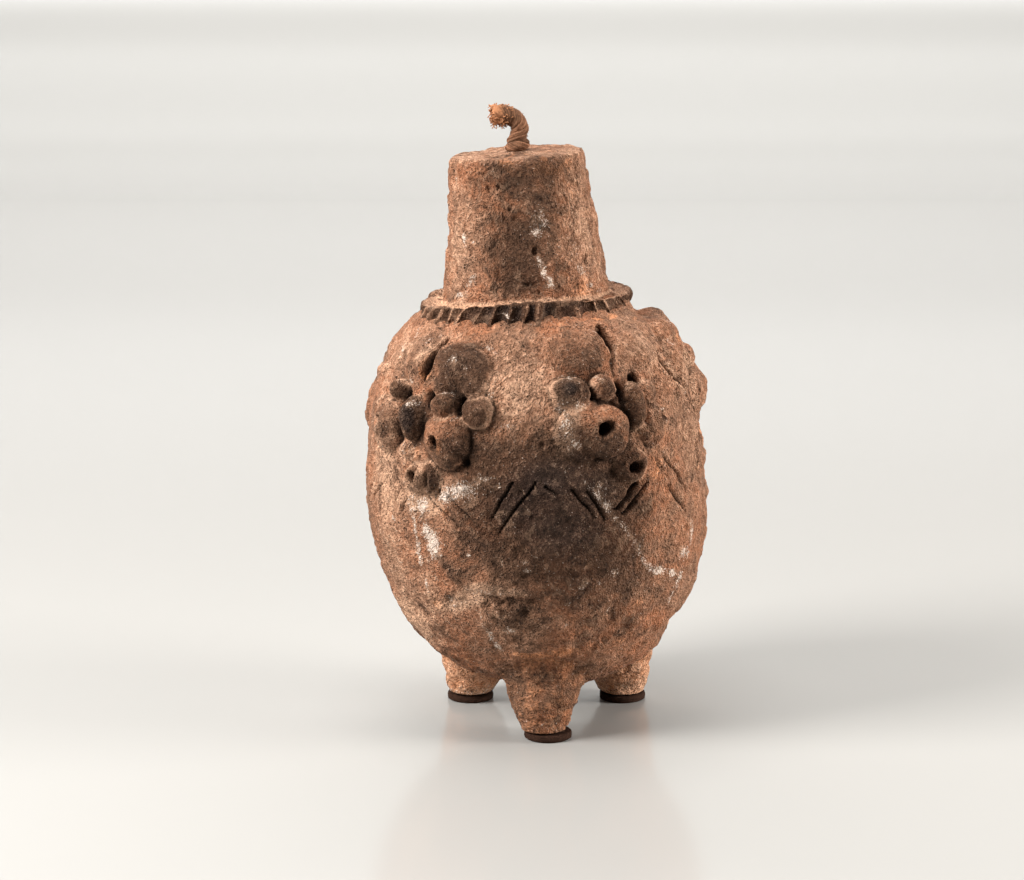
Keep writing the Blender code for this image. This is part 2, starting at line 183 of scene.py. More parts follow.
def noise(points, size, seed):
    """Values at the corners of a lattice of cells, blended inside each with 3t^2 - 2t^3."""
    grid = points / size
    cell = np.floor(grid).astype(np.int64)
    part = grid - cell
    part = part * part * (3 - 2 * part)
    total = np.zeros(points.shape[:-1])
    for corner in itertools.product((0, 1), repeat=3):
        weight = np.prod(np.where(corner, part, 1 - part), axis=-1)
        total += weight * lattice(cell + np.array(corner), seed)
    return total


def rough(points, size, seed, layers=3):
    """Noise added in layers, each half the size and half the strength of the one before."""
    return sum(noise(points, size / 2 ** k, seed + k) / 2 ** k for k in range(layers))


def pits(points, size, radius, share, seed):
    """Round pits, one in a share of the cells: 1 in the middle, falling to 0 at the radius."""
    cell = np.floor(points / size).astype(np.int64)
    deepest = np.zeros(points.shape[:-1])
    for step in itertools.product((-1, 0, 1), repeat=3):
        near = cell + np.array(step)
        middle = np.stack([near[..., axis] + 0.5 + 0.4 * lattice(near, seed + axis)
                           for axis in range(3)], -1) * size
        there = lattice(near, seed + 3) < 2 * share - 1
        reach = radius * (1 + 0.5 * lattice(near, seed + 4))
        inside = 1 - (np.linalg.norm(points - middle, axis=-1) / reach) ** 2
        deepest = np.maximum(deepest, np.where(there, inside, 0))
    return np.clip(deepest, 0, 1)


def chances(number, kinds, seed):
    """For each whole number, as many fixed numbers from -1 to 1 as there are kinds."""
    return [lattice(np.stack([number, 0 * number + kind, 0 * number], -1), seed)
            for kind in range(kinds)]


def soft_step(low, high, value):
    """0 below low, 1 above high, 3t^2 - 2t^3 between; it falls where low is above high."""
    share = np.clip((value - low) / (high - low), 0, 1)
    return share * share * (3 - 2 * share)


print("noise at the front of the belly:", noise(np.array([[0, -52.0, 71.0]]), 9.0, 1).round(3))

# %% [markdown]
# A shell is a grid of points: rows along an outline and columns round the jar. Its faces join
# neighbours. Either the last row joins the first, as in a ring, or both ends close in a fan.

# %% Shells
def shell(name, points, ring=False, **values):
    """A closed mesh from a grid of points in millimetres, with a named value at each point."""
    rows, columns = points.shape[:2]
    index = np.arange(rows * columns).reshape(rows, columns)
    beside = np.roll(index, -1, axis=1)
    corners = [index, beside, np.roll(beside, -1, axis=0), np.roll(index, -1, axis=0)]
    faces = np.stack(corners, -1)[:rows if ring else -1].reshape(-1, 4).tolist()
    places = points.reshape(-1, 3)
    if not ring:
        places = np.concatenate([places, points[[0, -1]].mean(axis=1)])
        low, high = rows * columns, rows * columns + 1
        faces += [(a, low, b) for a, b in zip(index[0].tolist(), beside[0].tolist())]
        faces += [(b, high, a) for a, b in zip(index[-1].tolist(), beside[-1].tolist())]
    mesh = bpy.data.meshes.new(name)
    mesh.from_pydata(in_metres(places).tolist(), [], faces)
    for label, value in values.items():
        layer = mesh.attributes.new(label, "FLOAT", "POINT")
        flat = np.concatenate([value.ravel(), [0.0] * (len(places) - value.size)])
        layer.data.foreach_set("value", flat.astype(np.float32))
    mesh.shade_smooth()
    piece = bpy.data.objects.new(name, mesh)
    bpy.context.scene.collection.objects.link(piece)
    return piece


def outward(points, ring=False):
    """Unit normals of a grid: the step round the jar crossed with the step along the outline."""
    across = np.roll(points, -1, axis=1) - np.roll(points, 1, axis=1)
    if ring:
        along = np.roll(points, -1, axis=0) - np.roll(points, 1, axis=0)
    else:
        along = np.gradient(points, axis=0)
    normal = np.cross(across, along)
    return normal / np.maximum(np.linalg.norm(normal, axis=-1, keepdims=True), 1e-12)


def spread(value, passes, ring_rows=False):
    """A grid's values averaged with their neighbours, weights 1 2 1, over and over."""
    for _ in range(passes):
        value = (np.roll(value, 1, 1) + 2 * value + np.roll(value, -1, 1)) / 4
        if ring_rows:
            above, below = np.roll(value, -1, 0), np.roll(value, 1, 0)
        else:
            above, below = np.vstack([value[1:], value[-1:]]), np.vstack([value[:1], value[:-1]])
        value = (above + 2 * value + below) / 4
    return value


def lengths(table):
    """Distance from the first point of a bent line to each of its points."""
    return np.concatenate([[0], np.cumsum(np.linalg.norm(np.diff(table, axis=0), axis=1))])


def evenly(table, spacing):
    """Row numbers along a table whose steps are as long as a wanted spacing at each row."""
    steps = np.linalg.norm(np.diff(table, axis=0), axis=1)
    wanted = np.concatenate([[0], np.cumsum(steps / ((spacing[1:] + spacing[:-1]) / 2))])
    count = int(round(wanted[-1])) + 1
    return np.interp(np.linspace(0, wanted[-1], count), wanted, np.arange(len(table)))


def count_triangles(piece):
    """Triangles of a mesh: a face with n corners gives n - 2."""
    piece.data.calc_loop_triangles()
    return len(piece.data.loop_triangles)


# %% [markdown]
# The jar's plain form, before any relief, repeats the sizes of the solid model: an egg whose
# radius is R (1 - t^a)^b, a neck that widens downwards, an axis that leans to the jar's right
# and rings that rise towards the viewer's right.

# %% The plain jar
UNDERSIDE, BELLY_RISE, BELLY_RADIUS, SHOULDER_RISE = 12.5, 58.5, 52.7, 63.2
LOWER_CURVE, UPPER_CURVE = (1.9, 0.352), (2.5, 0.27)
WALL, NECK_LENGTH, NECK_BASE, CROWN_RADIUS = 5.5, 42.5, 25.0, 20.6
NECK_FLARE, NECK_BLEND, COLLAR_SLOPE = 1.2, 3.0, 1.0
BELLY = UNDERSIDE + BELLY_RISE
COLLAR_TOP = BELLY + SHOULDER_RISE + COLLAR_SLOPE
CROWN = COLLAR_TOP + NECK_LENGTH
LEAN_HEIGHTS = (0.07, 0.17, 0.25, 0.34, 0.42, 0.62, 0.745, 1.0)
LEAN_SHIFTS = (-0.0040, -0.0090, -0.0100, -0.0150, -0.0220, -0.0240, -0.0376, -0.0545)
NECK_TILT = 0.070


def lean(height):
    """Sideways place of the axis at a height."""
    return np.interp(height / CROWN, LEAN_HEIGHTS, LEAN_SHIFTS) * CROWN


def tilt(height):
    """Rise of a ring per millimetre towards the viewer's right."""
    return NECK_TILT * np.clip((height - UNDERSIDE) / (COLLAR_TOP - UNDERSIDE), 0, 1)


def neck_radius(height):
    """Radius of the neck: the crown's, plus a flare that grows with the drop below the crown."""
    drop = np.clip((CROWN - height) / NECK_LENGTH, 0, 1)
    return CROWN_RADIUS + (NECK_BASE - CROWN_RADIUS) * drop ** NECK_FLARE


def jar_radius(height):
    """Radius of the egg, with a rounded change to the neck at the top."""
    up = height > BELLY
    share = np.where(up, (height - BELLY) / SHOULDER_RISE, (BELLY - height) / BELLY_RISE)
    share = np.clip(share, 0, 1)
    egg = BELLY_RADIUS * np.where(up, (1 - share ** UPPER_CURVE[0]) ** UPPER_CURVE[1],
                                  (1 - share ** LOWER_CURVE[0]) ** LOWER_CURVE[1])
    neck = neck_radius(height)
    near = np.clip(NECK_BLEND - abs(egg - neck), 0, None) / NECK_BLEND
    return np.where(up, np.maximum(egg, neck) + near * near * NECK_BLEND / 4, egg)


def place(radius, azimuth, height):
    """Points round the leaning axis; azimuth 0 is the front and grows towards the right."""
    aside = radius * np.sin(azimuth)
    return np.stack([lean(height) + aside, -radius * np.cos(azimuth),
                     height + aside * tilt(height)], -1)


# Heights from the underside up, close together where the bottom turns flat
low_part = BELLY - BELLY_RISE * (1 - np.linspace(0.012, 1, 900) ** 3)
HEIGHTS = np.concatenate([low_part, np.linspace(BELLY, COLLAR_TOP - 2.7, 900)[1:]])
OUTLINE = np.stack([jar_radius(HEIGHTS), HEIGHTS], -1)
ARCS = lengths(OUTLINE)


def arc(height):
    """Distance up the wall, along the outline, from the underside to a height."""
    return np.interp(height, HEIGHTS, ARCS) + np.clip(height - HEIGHTS[-1], 0, None)


print("outline", round(ARCS[-1]), "mm long, crown at", round(CROWN, 1), "mm")

# %% [markdown]
# A potter made the masks from balls and discs of clay pressed on the wall, then pushed a stick in
# for each hole and drew a blade down each brow. Here each lump is a dome, proud (1 - q^2)^p with
# q the distance from its middle as a share of its size, and the highest lump wins. Where a lump's
# edge stands clear of its neighbours it is kept as a rim, which turns pale, partly from wear and
# partly as a painted highlight. The line of each cut is kept too, for its dirt and painted shade.

# %% Lumps, holes and grooves
# azimuth, height, half width, half height, turn (degrees), proud, power of the dome's edge
LEFT_MASK = (
    (-28.8, 118.8, 9.4, 8.5, -14, 3.5, 1.05), (-22.6, 117.2, 5.4, 7.4, 8, 3.2, 0.65),
    (-35.4, 113.8, 4.2, 4.0, 0, 2.1, 0.85), (-21.8, 113.0, 4.2, 4.2, 0, 2.6, 0.70),
    (-53.0, 120.5, 6.8, 8.2, 0, 2.6, 0.70), (-66.0, 118.5, 6.5, 6.5, 0, 0.9, 0.90),
    (-32.4, 107.2, 4.3, 4.3, 0, 6.0, 0.50), (-20.2, 106.2, 4.9, 5.4, 0, 4.4, 0.50),
    (-31.0, 98.8, 7.8, 8.2, 0, 4.8, 0.55), (-29.0, 96.4, 6.6, 7.2, 0, 5.8, 0.50),
    (-45.6, 103.2, 3.7, 7.0, 6, 5.0, 0.50), (-56.6, 110.6, 2.3, 3.4, 0, 4.0, 0.50),
    (-58.8, 99.2, 6.2, 8.2, 0, 4.4, 0.50), (-64.0, 104.0, 3.0, 4.0, 0, 2.6, 0.60),
    (-42.2, 85.4, 4.4, 5.0, 0, 3.2, 0.50), (-39.2, 85.4, 1.5, 4.6, 6, 4.0, 0.60),
    (-36.0, 85.8, 3.4, 5.4, 0, 3.0, 0.50), (-48.0, 93.6, 3.2, 2.6, 20, 1.8, 0.80),
    (-70.0, 106.0, 5.8, 6.2, 0, 2.2, 0.60), (-75.5, 114.6, 2.6, 2.2, 0, 1.6, 0.60),
)
RIGHT_MASK = (
    (19.4, 121.8, 10.4, 7.6, -8, 3.2, 0.70), (47.5, 119.5, 8.6, 7.6, 8, 2.0, 0.80),
    (12.2, 110.4, 6.4, 4.8, -10, 4.0, 0.45), (24.6, 111.2, 3.9, 3.8, 0, 3.9, 0.50),
    (16.4, 99.6, 8.2, 9.4, 0, 3.6, 0.55), (23.4, 98.6, 7.2, 8.3, 0, 6.2, 0.45),
    (36.0, 104.4, 3.2, 7.2, -4, 4.8, 0.50), (43.0, 98.4, 5.8, 6.8, 0, 3.1, 0.60),
    (32.6, 87.6, 5.6, 5.0, 0, 2.4, 0.70), (43.0, 108.0, 4.0, 3.4, 0, 2.2, 0.70),
)
SIDE_MASK = (
    (77.0, 119.6, 9.6, 7.6, 0, 2.4, 0.65), (66.5, 112.4, 4.8, 8.2, -16, 2.3, 0.65),
    (80.0, 113.0, 4.0, 3.8, 0, 3.6, 0.50), (84.0, 102.6, 8.0, 6.4, 0, 3.4, 0.60),
    (95.0, 100.4, 6.0, 5.6, 0, 0.9, 0.60), (99.5, 103.0, 3.6, 6.6, 0, 3.4, 0.60),
    (99.0, 86.4, 4.6, 4.8, 0, 0.9, 0.70), (110.0, 98.6, 8.0, 8.0, 0, 4.4, 0.60),
    (110.5, 109.6, 4.0, 3.8, 0, 3.8, 0.50), (121.0, 106.0, 5.2, 5.6, 0, 3.4, 0.60),
    (112.0, 119.2, 8.4, 7.6, 0, 2.8, 0.70),
)
# the same columns, with the azimuth counted from the middle of a mask
HIDDEN_MASK = (
    (-13.5, 119.4, 8.6, 8.0, 0, 2.4, 0.70), (13.5, 119.4, 8.6, 8.0, 0, 0.8, 0.80),
    (-23.5, 106.2, 5.0, 5.4, 0, 3.2, 0.60), (23.5, 106.2, 5.0, 5.4, 0, 1.5, 0.60),
    (-11.4, 109.4, 3.9, 3.7, 0, 3.8, 0.50), (11.4, 109.4, 3.9, 3.7, 0, 3.0, 0.50),
    (-13.5, 98.8, 8.0, 8.0, 0, 4.0, 0.60), (13.5, 98.8, 8.0, 8.0, 0, 3.2, 0.60),
    (0.0, 103.0, 3.5, 6.6, 0, 3.2, 0.60), (0.0, 86.4, 4.6, 4.6, 0, 2.4, 0.70),
)
HIDDEN_MIDDLES = (-118.0, 174.0)
HIDDEN_HOLES = ((-12, 98.6), (12, 98.6), (0, 86.4))
HIDDEN_HOLE_SIZE = (1.9, 1.9, 0, 4.2)
# azimuth, height, half width, half height, turn, depth
HOLES = (
    (-32.6, 96.8, 1.3, 2.3, 28, 5.0), (-62.0, 100.2, 2.2, 1.9, 0, 3.6),
    (-43.2, 85.6, 2.1, 2.4, 0, 5.0), (47.0, 100.0, 1.7, 1.5, 0, 1.5),
    (22.0, 99.9, 2.6, 1.8, 18, 5.6), (20.6, 98.6, 1.5, 1.4, 0, 3.0),
    (32.8, 87.2, 2.3, 2.0, 0, 4.6), (90.0, 97.6, 1.9, 1.9, 0, 4.0),
    (108.0, 98.4, 1.9, 1.9, 0, 4.4), (99.0, 86.4, 1.9, 1.8, 0, 4.0),
)
# the same columns: hollows pressed between the lumps, wider and softer than a hole
HOLLOWS = (
    (-36.6, 85.4, 1.0, 3.4, 0, 2.6), (-33.6, 84.4, 1.0, 4.0, 12, 1.4),
    (-52.8, 108.6, 2.0, 3.4, 14, 4.4), (-40.0, 109.2, 1.3, 3.2, 14, 4.0),
    (-26.4, 107.6, 0.95, 3.4, 0, 3.4), (-51.6, 98.4, 1.1, 5.0, 0, 3.2),
    (-23.4, 92.6, 1.2, 3.4, 30, 2.0), (31.4, 109.2, 1.4, 4.0, 0, 3.8),
    (38.8, 112.0, 1.7, 2.0, 0, 3.0), (26.6, 84.6, 3.4, 4.0, 0, 1.0),
    (31.2, 91.8, 3.0, 2.2, 30, 1.4), (33.0, 101.0, 1.0, 5.4, -6, 2.0),
    (39.6, 100.4, 0.9, 4.0, 0, 1.2), (80.5, 86.2, 1.8, 3.4, 0, 1.2),
    (88.0, 88.8, 12.0, 6.0, 0, 3.2), (107.0, 127.0, 30.0, 5.6, 0, 4.0),
    (97.0, 75.5, 14.0, 4.0, 0, 1.5), (74.0, 32.0, 15.0, 7.0, 0, 1.9),
    (40.6, 93.0, 2.6, 1.6, 0, 1.2),
)
# grooves: azimuth and height of both ends, half width, depth
SLITS = (
    (-39.4, 126.3, -45.8, 114.6, 1.15, 3.2), (-41.2, 122.6, -45.0, 115.8, 1.50, 1.9),
    (33.6, 126.8, 33.0, 121.0, 2.10, 4.2), (33.0, 121.0, 30.6, 113.8, 0.90, 0.5),
    (55.6, 117.2, 57.4, 111.0, 1.00, 3.2), (57.0, 112.0, 65.0, 105.4, 0.60, 1.6),
    (65.0, 105.4, 73.5, 96.0, 0.55, 1.3), (11.5, 83.0, 18.8, 73.6, 0.60, 1.1),
    (16.5, 81.6, 23.2, 72.7, 0.60, 1.1), (38.6, 82.0, 29.0, 73.6, 0.80, 2.4),
    (34.4, 82.4, 26.4, 75.4, 0.75, 2.2), (47.5, 87.4, 61.0, 75.0, 0.65, 1.8),
    (48.0, 79.6, 58.4, 70.0, 0.65, 1.8), (42.6, 88.6, 47.4, 81.8, 0.45, 0.9),
    (71.0, 90.0, 69.5, 80.0, 1.00, 2.6), (97.6, 121.5, 98.0, 114.0, 0.80, 2.6),
    (44.0, 123.4, 43.4, 114.6, 0.45, 0.5), (-116.0, 126.5, -115.0, 114.5, 0.80, 2.6),
    (175.0, 126.5, 174.0, 114.5, 0.80, 2.6),
)
# chips and gouges: the same columns as the holes
CHIPS = (
    (-17.6, 48.6, 3.6, 1.7, -16, 1.4), (-10.8, 48.2, 1.7, 2.4, 30, 1.1),
    (-4.0, 49.0, 1.5, 1.0, 0, 0.7), (4, 139.5, 2.3, 0.6, 0, 0.8), (8.5, 150, 1.2, 1.3, 0, 0.9),
    (-8.2, 162.8, 0.8, 0.8, 0, 0.9), (-25.5, 168.5, 0.9, 1.5, 20, 0.8),
    (-28.8, 163.2, 0.5, 1.6, 35, 1.0), (54.2, 144.5, 0.9, 2.1, 0, 0.7),
    (-16.8, 169.5, 0.5, 0.5, 0, 0.7), (-12.2, 160, 0.6, 1.8, 30, 0.6),
    (-45.2, 95.0, 1.0, 0.8, 20, 0.8), (-42.4, 91.6, 0.8, 1.2, 0, 0.8),
    (-46.6, 90.6, 0.9, 0.7, 0, 0.7), (-13.6, 44.8, 1.2, 2.6, 35, 0.9),
    (-21.4, 46.4, 0.8, 1.6, 30, 0.8), (-6.0, 45.4, 1.0, 1.0, 0, 0.8),
    (20.4, 109.6, 0.9, 1.5, 10, 1.8), (140, 60, 2.4, 1.8, 0, 1.0), (-130, 50, 2.0, 2.0, 0, 1.0),
)
STROKES = (
    (-50.6, 81.6, -54.7, 76.0), (-47.0, 78.6, -52.8, 72.2), (-37.4, 79.6, -26.4, 71.6),
    (-30.0, 81.6, -20.6, 73.2), (-7.2, 86.0, -14.8, 74.2), (-0.2, 85.6, -12.8, 69.6),
    (-59.0, 84.0, -55.5, 79.0), (2.6, 84.2, 6.8, 81.4),
)
STROKE_HALF_WIDTH, STROKE_DEPTH, FADING = 0.52, 1.7, 0.35
# strokes at the back: middle of each pair, height of both ends, half slant, half gap (degrees)
BACK_STROKES, BACK_HEIGHTS, BACK_SLANT, BACK_GAP = range(90, 300, 20), (81.0, 74.0), 4, 3
BACK_DEPTH = 0.8 * STROKE_DEPTH
# the ridge beside a cut: height as a share of depth, place and width as shares of half width
RIDGE_HEIGHT, RIDGE_PLACE, RIDGE_WIDTH = 0.16, 1.6, 0.6
# how high clay was pushed up round a hole, and how much noise tears the rim of a chip
HOLE_BURR, CHIP_TEARING = 0.35, 0.34
# the width over which lumps melt together, and the share and width of the mark pressed round one
JOIN, PRESSED_SHARE, PRESSED_WIDTH, RIM_WIDTH = 0.7, 0.22, 1.3, 0.75


def wrapped(angle):
    """An angle in radians brought between half a turn left and half a turn right."""
    return (angle + math.pi) % (2 * math.pi) - math.pi


class Wall:
    """The wall as a flat sheet: where each point of a grid is, across and up, in millimetres.

    Both are bent a little by noise, so that nothing drawn on the wall is a perfect oval. Finer
    noise is kept for tearing the rims of chips."""

    def __init__(self, azimuth, height):
        self.azimuth = azimuth
        self.radius, self.up = jar_radius(height), arc(height)
        plain = place(self.radius, azimuth, height)
        self.bent = [0.50 * noise(plain, 6.0, seed) + 0.22 * noise(plain, 2.4, seed + 1)
                     for seed in (51, 55)]
        self.torn = rough(plain, 1.8, 57, 2)

    def from_spot(self, degrees, height, turn=0.0):
        """Distances across and up from a spot on the wall, turned by an angle."""
        across = wrapped(self.azimuth - math.radians(degrees)) * self.radius + self.bent[0]
        up = self.up - arc(height) + self.bent[1]
        cosine, sine = math.cos(math.radians(turn)), math.sin(math.radians(turn))
        return across * cosine + up * sine, up * cosine - across * sine

    def reach(self, degrees, height, half_width, half_height, turn):
        """Distance from a spot as a share of its size: 1 on the rim of its oval."""
        across, up = self.from_spot(degrees, height, turn)
        return np.hypot(across / half_width, up / half_height)

    def groove(self, start, start_height, end, end_height, half_width, depth, fading=0.0):
        """A cut along a line: deepest on the line, with a low ridge of clay pushed to each side.

        Fading is the share of its depth that the cut loses from its start to its end."""
        middle, middle_height = (start + end) / 2, (start_height + end_height) / 2
        across, up = self.from_spot(middle, middle_height)
        radius = float(jar_radius(np.array(middle_height)))
        half = np.array([math.radians(end - start) * radius,
                         arc(end_height) - arc(start_height)]) / 2
        length = math.hypot(*half)
        along = np.clip((across * half[0] + up * half[1]) / length, -length, length)
        away = np.hypot(across - along * half[0] / length, up - along * half[1] / length)
        width = half_width * (0.62 + 0.38 * np.sqrt(np.clip(1 - (along / length) ** 2, 0, 1)))
        cut = np.clip(1 - (away / width) ** 2, 0, 1) ** 0.8
        burr = np.exp(-((away - RIDGE_PLACE * width) / (RIDGE_WIDTH * width)) ** 2)
        return depth * (1 - fading * (along / length + 1) / 2) * (RIDGE_HEIGHT * burr - cut)


def masks(wall):
    """Domes proud (1 - q^2)^p, the highest winning, a mark pressed round each, and their rims."""
    rows = [*LEFT_MASK, *RIGHT_MASK, *SIDE_MASK]
    rows += [(middle + row[0], *row[1:]) for middle in HIDDEN_MIDDLES for row in HIDDEN_MASK]
    proud, pressed, rims = np.zeros((3, *wall.azimuth.shape))
    for *oval, top, power in rows:
        q, size = wall.reach(*oval), (oval[2] + oval[3]) / 2
        dome = top * np.clip(1 - q * q, 0, None) ** power
        near = np.clip(JOIN - abs(proud - dome), 0, None) / JOIN
        proud = np.maximum(proud, dome) + near * near * JOIN / 4 * (dome > 0) * (proud > 0)
        mark = top / 4 * np.exp(-((q - 1) * size / PRESSED_WIDTH) ** 2) * (q > 1)
        pressed = np.maximum(pressed, mark)
        clear = soft_step(1.8, 0.6, proud - dome)
        edge = clear * min(top / 3, 1) * soft_step(8.5, 5.0, size)
        rims = np.maximum(rims, edge * np.exp(-((q - 0.97) * size / RIM_WIDTH) ** 2))
    return proud - PRESSED_SHARE * pressed, rims


def chips(wall):
    """Chips broken out of the skin: flat floors with steep rims."""
    marks = np.zeros(wall.azimuth.shape)
    for *oval, depth in CHIPS:
        q = wall.reach(*oval) + CHIP_TEARING * wall.torn
        marks -= depth * (1 - soft_step(0.75, 1.1, q))
    return marks


def tool_marks(wall):
    """Holes, hollows, slits and strokes as depths below the surface, and 1 along each cut line."""
    marks, cuts = chips(wall), np.zeros(wall.azimuth.shape)
    holes = [*HOLES, *((middle + aside, height, *HIDDEN_HOLE_SIZE)
                       for middle in HIDDEN_MIDDLES for aside, height in HIDDEN_HOLES)]
    for *oval, depth in holes:
        q = wall.reach(*oval)
        marks -= depth * (1 - soft_step(0.55, 1.1, q))
        marks += HOLE_BURR * np.exp(-((q - 1.5) / 0.3) ** 2)
    for *oval, depth in HOLLOWS:
        q = wall.reach(*oval)
        marks -= depth * (1 - soft_step(0.3, 1.25, q))
    lines = [*SLITS, *((*row, STROKE_HALF_WIDTH, STROKE_DEPTH, FADING) for row in STROKES)]
    for number, degrees in enumerate(BACK_STROKES):
        side = BACK_SLANT if number % 2 else -BACK_SLANT
        lines += [(degrees + shift - side, BACK_HEIGHTS[0], degrees + shift + side,
                   BACK_HEIGHTS[1], STROKE_HALF_WIDTH, BACK_DEPTH, FADING)
                  for shift in (-BACK_GAP, BACK_GAP)]
    for row in lines:
        groove = wall.groove(*row)
        marks += groove
        cuts = np.maximum(cuts, np.clip(-groove / row[5], 0, 1))
    return marks, cuts


print("lumps seen in front:", len(LEFT_MASK) + len(RIGHT_MASK), "and holes:", len(HOLES))

# %% [markdown]
# Burial and use left the clay grey-brown with soot in the middle, orange where it is worn, and
# with white crusts of lime. Some spots are painted light and shade instead: painted shade in a few
# hollows, a hole and the slit, and painted light on the crown's top and two of the feet. These
# patches are soft spots on the wall, kept as values at the mesh's points, and the material later
# breaks up their edges. Hollows and ridges are kept too, for dirt and painted shade in the hollows
# and wear on the ridges.

# %% Patches of soot, wear and lime
# azimuth, height, half width, half height, turn, strength
# painted shade, not soot: the spots in the hollows at -52.6 and -40, along the slit at -42.4, in
# the hole at 47 and in the gouge at -35
SOOT_AND_SHADE = (
    (1, 160, 15, 26, 0, 0.72), (28, 166, 8, 12, 0, 0.4), (12, 141, 12, 8, 0, 0.42),
    (-10, 148, 9, 14, 0, 0.6), (-27, 118, 11, 9, 0, 1.0), (-44, 103, 4, 8, 0, 1.9),
    (-28, 119, 9, 7, 0, 0.4), (-52.6, 108.4, 1.9, 2.8, 0, 1.9), (-40, 109, 1.4, 2.8, 0, 1.7),
    (-56.6, 110.6, 2.4, 3.2, 0, 0.9), (-26, 98, 10, 10, 0, 0.35), (-56, 100, 7, 8, 0, 0.6),
    (-19, 106, 6, 6, 0, 0.5), (-30, 109, 6, 5, 0, 0.6), (18, 119, 11, 9, 0, 0.62),
    (11.5, 110.5, 4.6, 3.6, 0, 1.3), (12.2, 112.5, 4, 2.4, 0, 0.5), (25, 110.6, 3, 3, 0, 0.7),
    (22, 99, 7, 8, 0, 0.2), (34.6, 104, 2.8, 6, 0, 1.3), (3, 90, 22, 11, 0, 1.55),
    (2, 68, 24, 18, 0, 1.75), (24, 70, 14, 16, 0, 0.75), (6, 47, 22, 9, 0, 0.2),
    (-9, 43, 9, 8, 0, 0.5), (34, 60, 8, 12, 0, 0.2), (-42.4, 120.4, 0.9, 5.4, -26, 1.6),
    (-32, 60, 10, 9, 0, 0.5), (28, 84, 10, 7, 0, 0.7), (36, 42, 16, 12, 0, 0.4),
    (28, 33, 10, 6, 0, 0.5), (8, 173, 22, 4, 0, 0.5), (-28, 172, 8, 4, 0, 0.3),
    (37, 111, 4, 3, 0, 0.5), (-14, 78, 12, 9, 0, 0.6), (0, 20, 14, 8, 0, 0.2),
    (-42, 86, 4, 4, 0, 0.5), (47.0, 100, 1.5, 1.4, 0, 1.9), (-35, 85.6, 2.4, 4.2, 0, 1.2),
    (-40, 40, 8, 10, 0, 0.2), (150, 90, 40, 36, 0, 0.5), (-140, 70, 36, 30, 0, 0.4),
    (180, 160, 20, 24, 0, 0.5), (2, 141, 6, 3, 0, 0.4), (-5, 129.5, 20, 2.5, 0, 0.5),
    (48, 129, 14, 2, 0, 0.3), (-3, 115, 10, 9, 0, 0.2),
)
# the first spot, all round the crown's top, is painted light from above
PALE = (
    (0, 178, 300, 1.4, 0, 0.62), (-2, 119, 11, 11, 0, 0.6), (-6, 109, 8, 8, 0, 0.8),
    (11, 104, 5, 8, 0, 0.9), (50, 118, 12, 12, 0, 0.6), (-72, 122, 14, 12, 0, 0.65),
    (-62, 90, 12, 16, 0, 0.7), (-60, 66, 10, 22, 0, 0.7), (-56, 152, 12, 26, 0, 0.65),
    (58, 152, 14, 22, 0, 0.75), (-36, 82, 12, 6, 0, 0.6), (62, 74, 12, 22, 0, 0.25),
    (-56, 34, 14, 10, 0, 0.6), (-36, 125, 6, 8, 0, 0.4), (-47.4, 121, 1.4, 5, -26, 1.0),
    (-22, 51.4, 6, 2.4, 12, 1.9), (-30, 46.2, 7, 2.6, 16, 1.7), (-13.4, 51.4, 4, 1.4, 0, 1.2),
    (-15, 43.6, 4, 2.0, 0, 0.9), (-40, 78, 8, 6, 0, 0.8), (-39.2, 85.4, 1.2, 4, 0, 0.9),
    (-44, 92.6, 3, 3, 0, 0.7), (-6.6, 51.6, 3.4, 1.4, 0, 0.9), (9.6, 99, 2.6, 8, 0, 1.5),
    (70, 100, 12, 20, 0, 0.5), (-40, 52, 9, 12, 0, 0.5), (-64, 36, 10, 12, 0, 0.9),
    (-15, 38, 3, 6, -20, 0.6), (7, 164, 2, 3, 0, 0.8), (-11, 57, 4, 3, 0, 0.4),
    (120, 60, 22, 22, 0, 0.5), (-150, 110, 20, 22, 0, 0.5), (-120, 160, 14, 20, 0, 0.5),
    (170, 60, 20, 20, 0, 0.4),
)
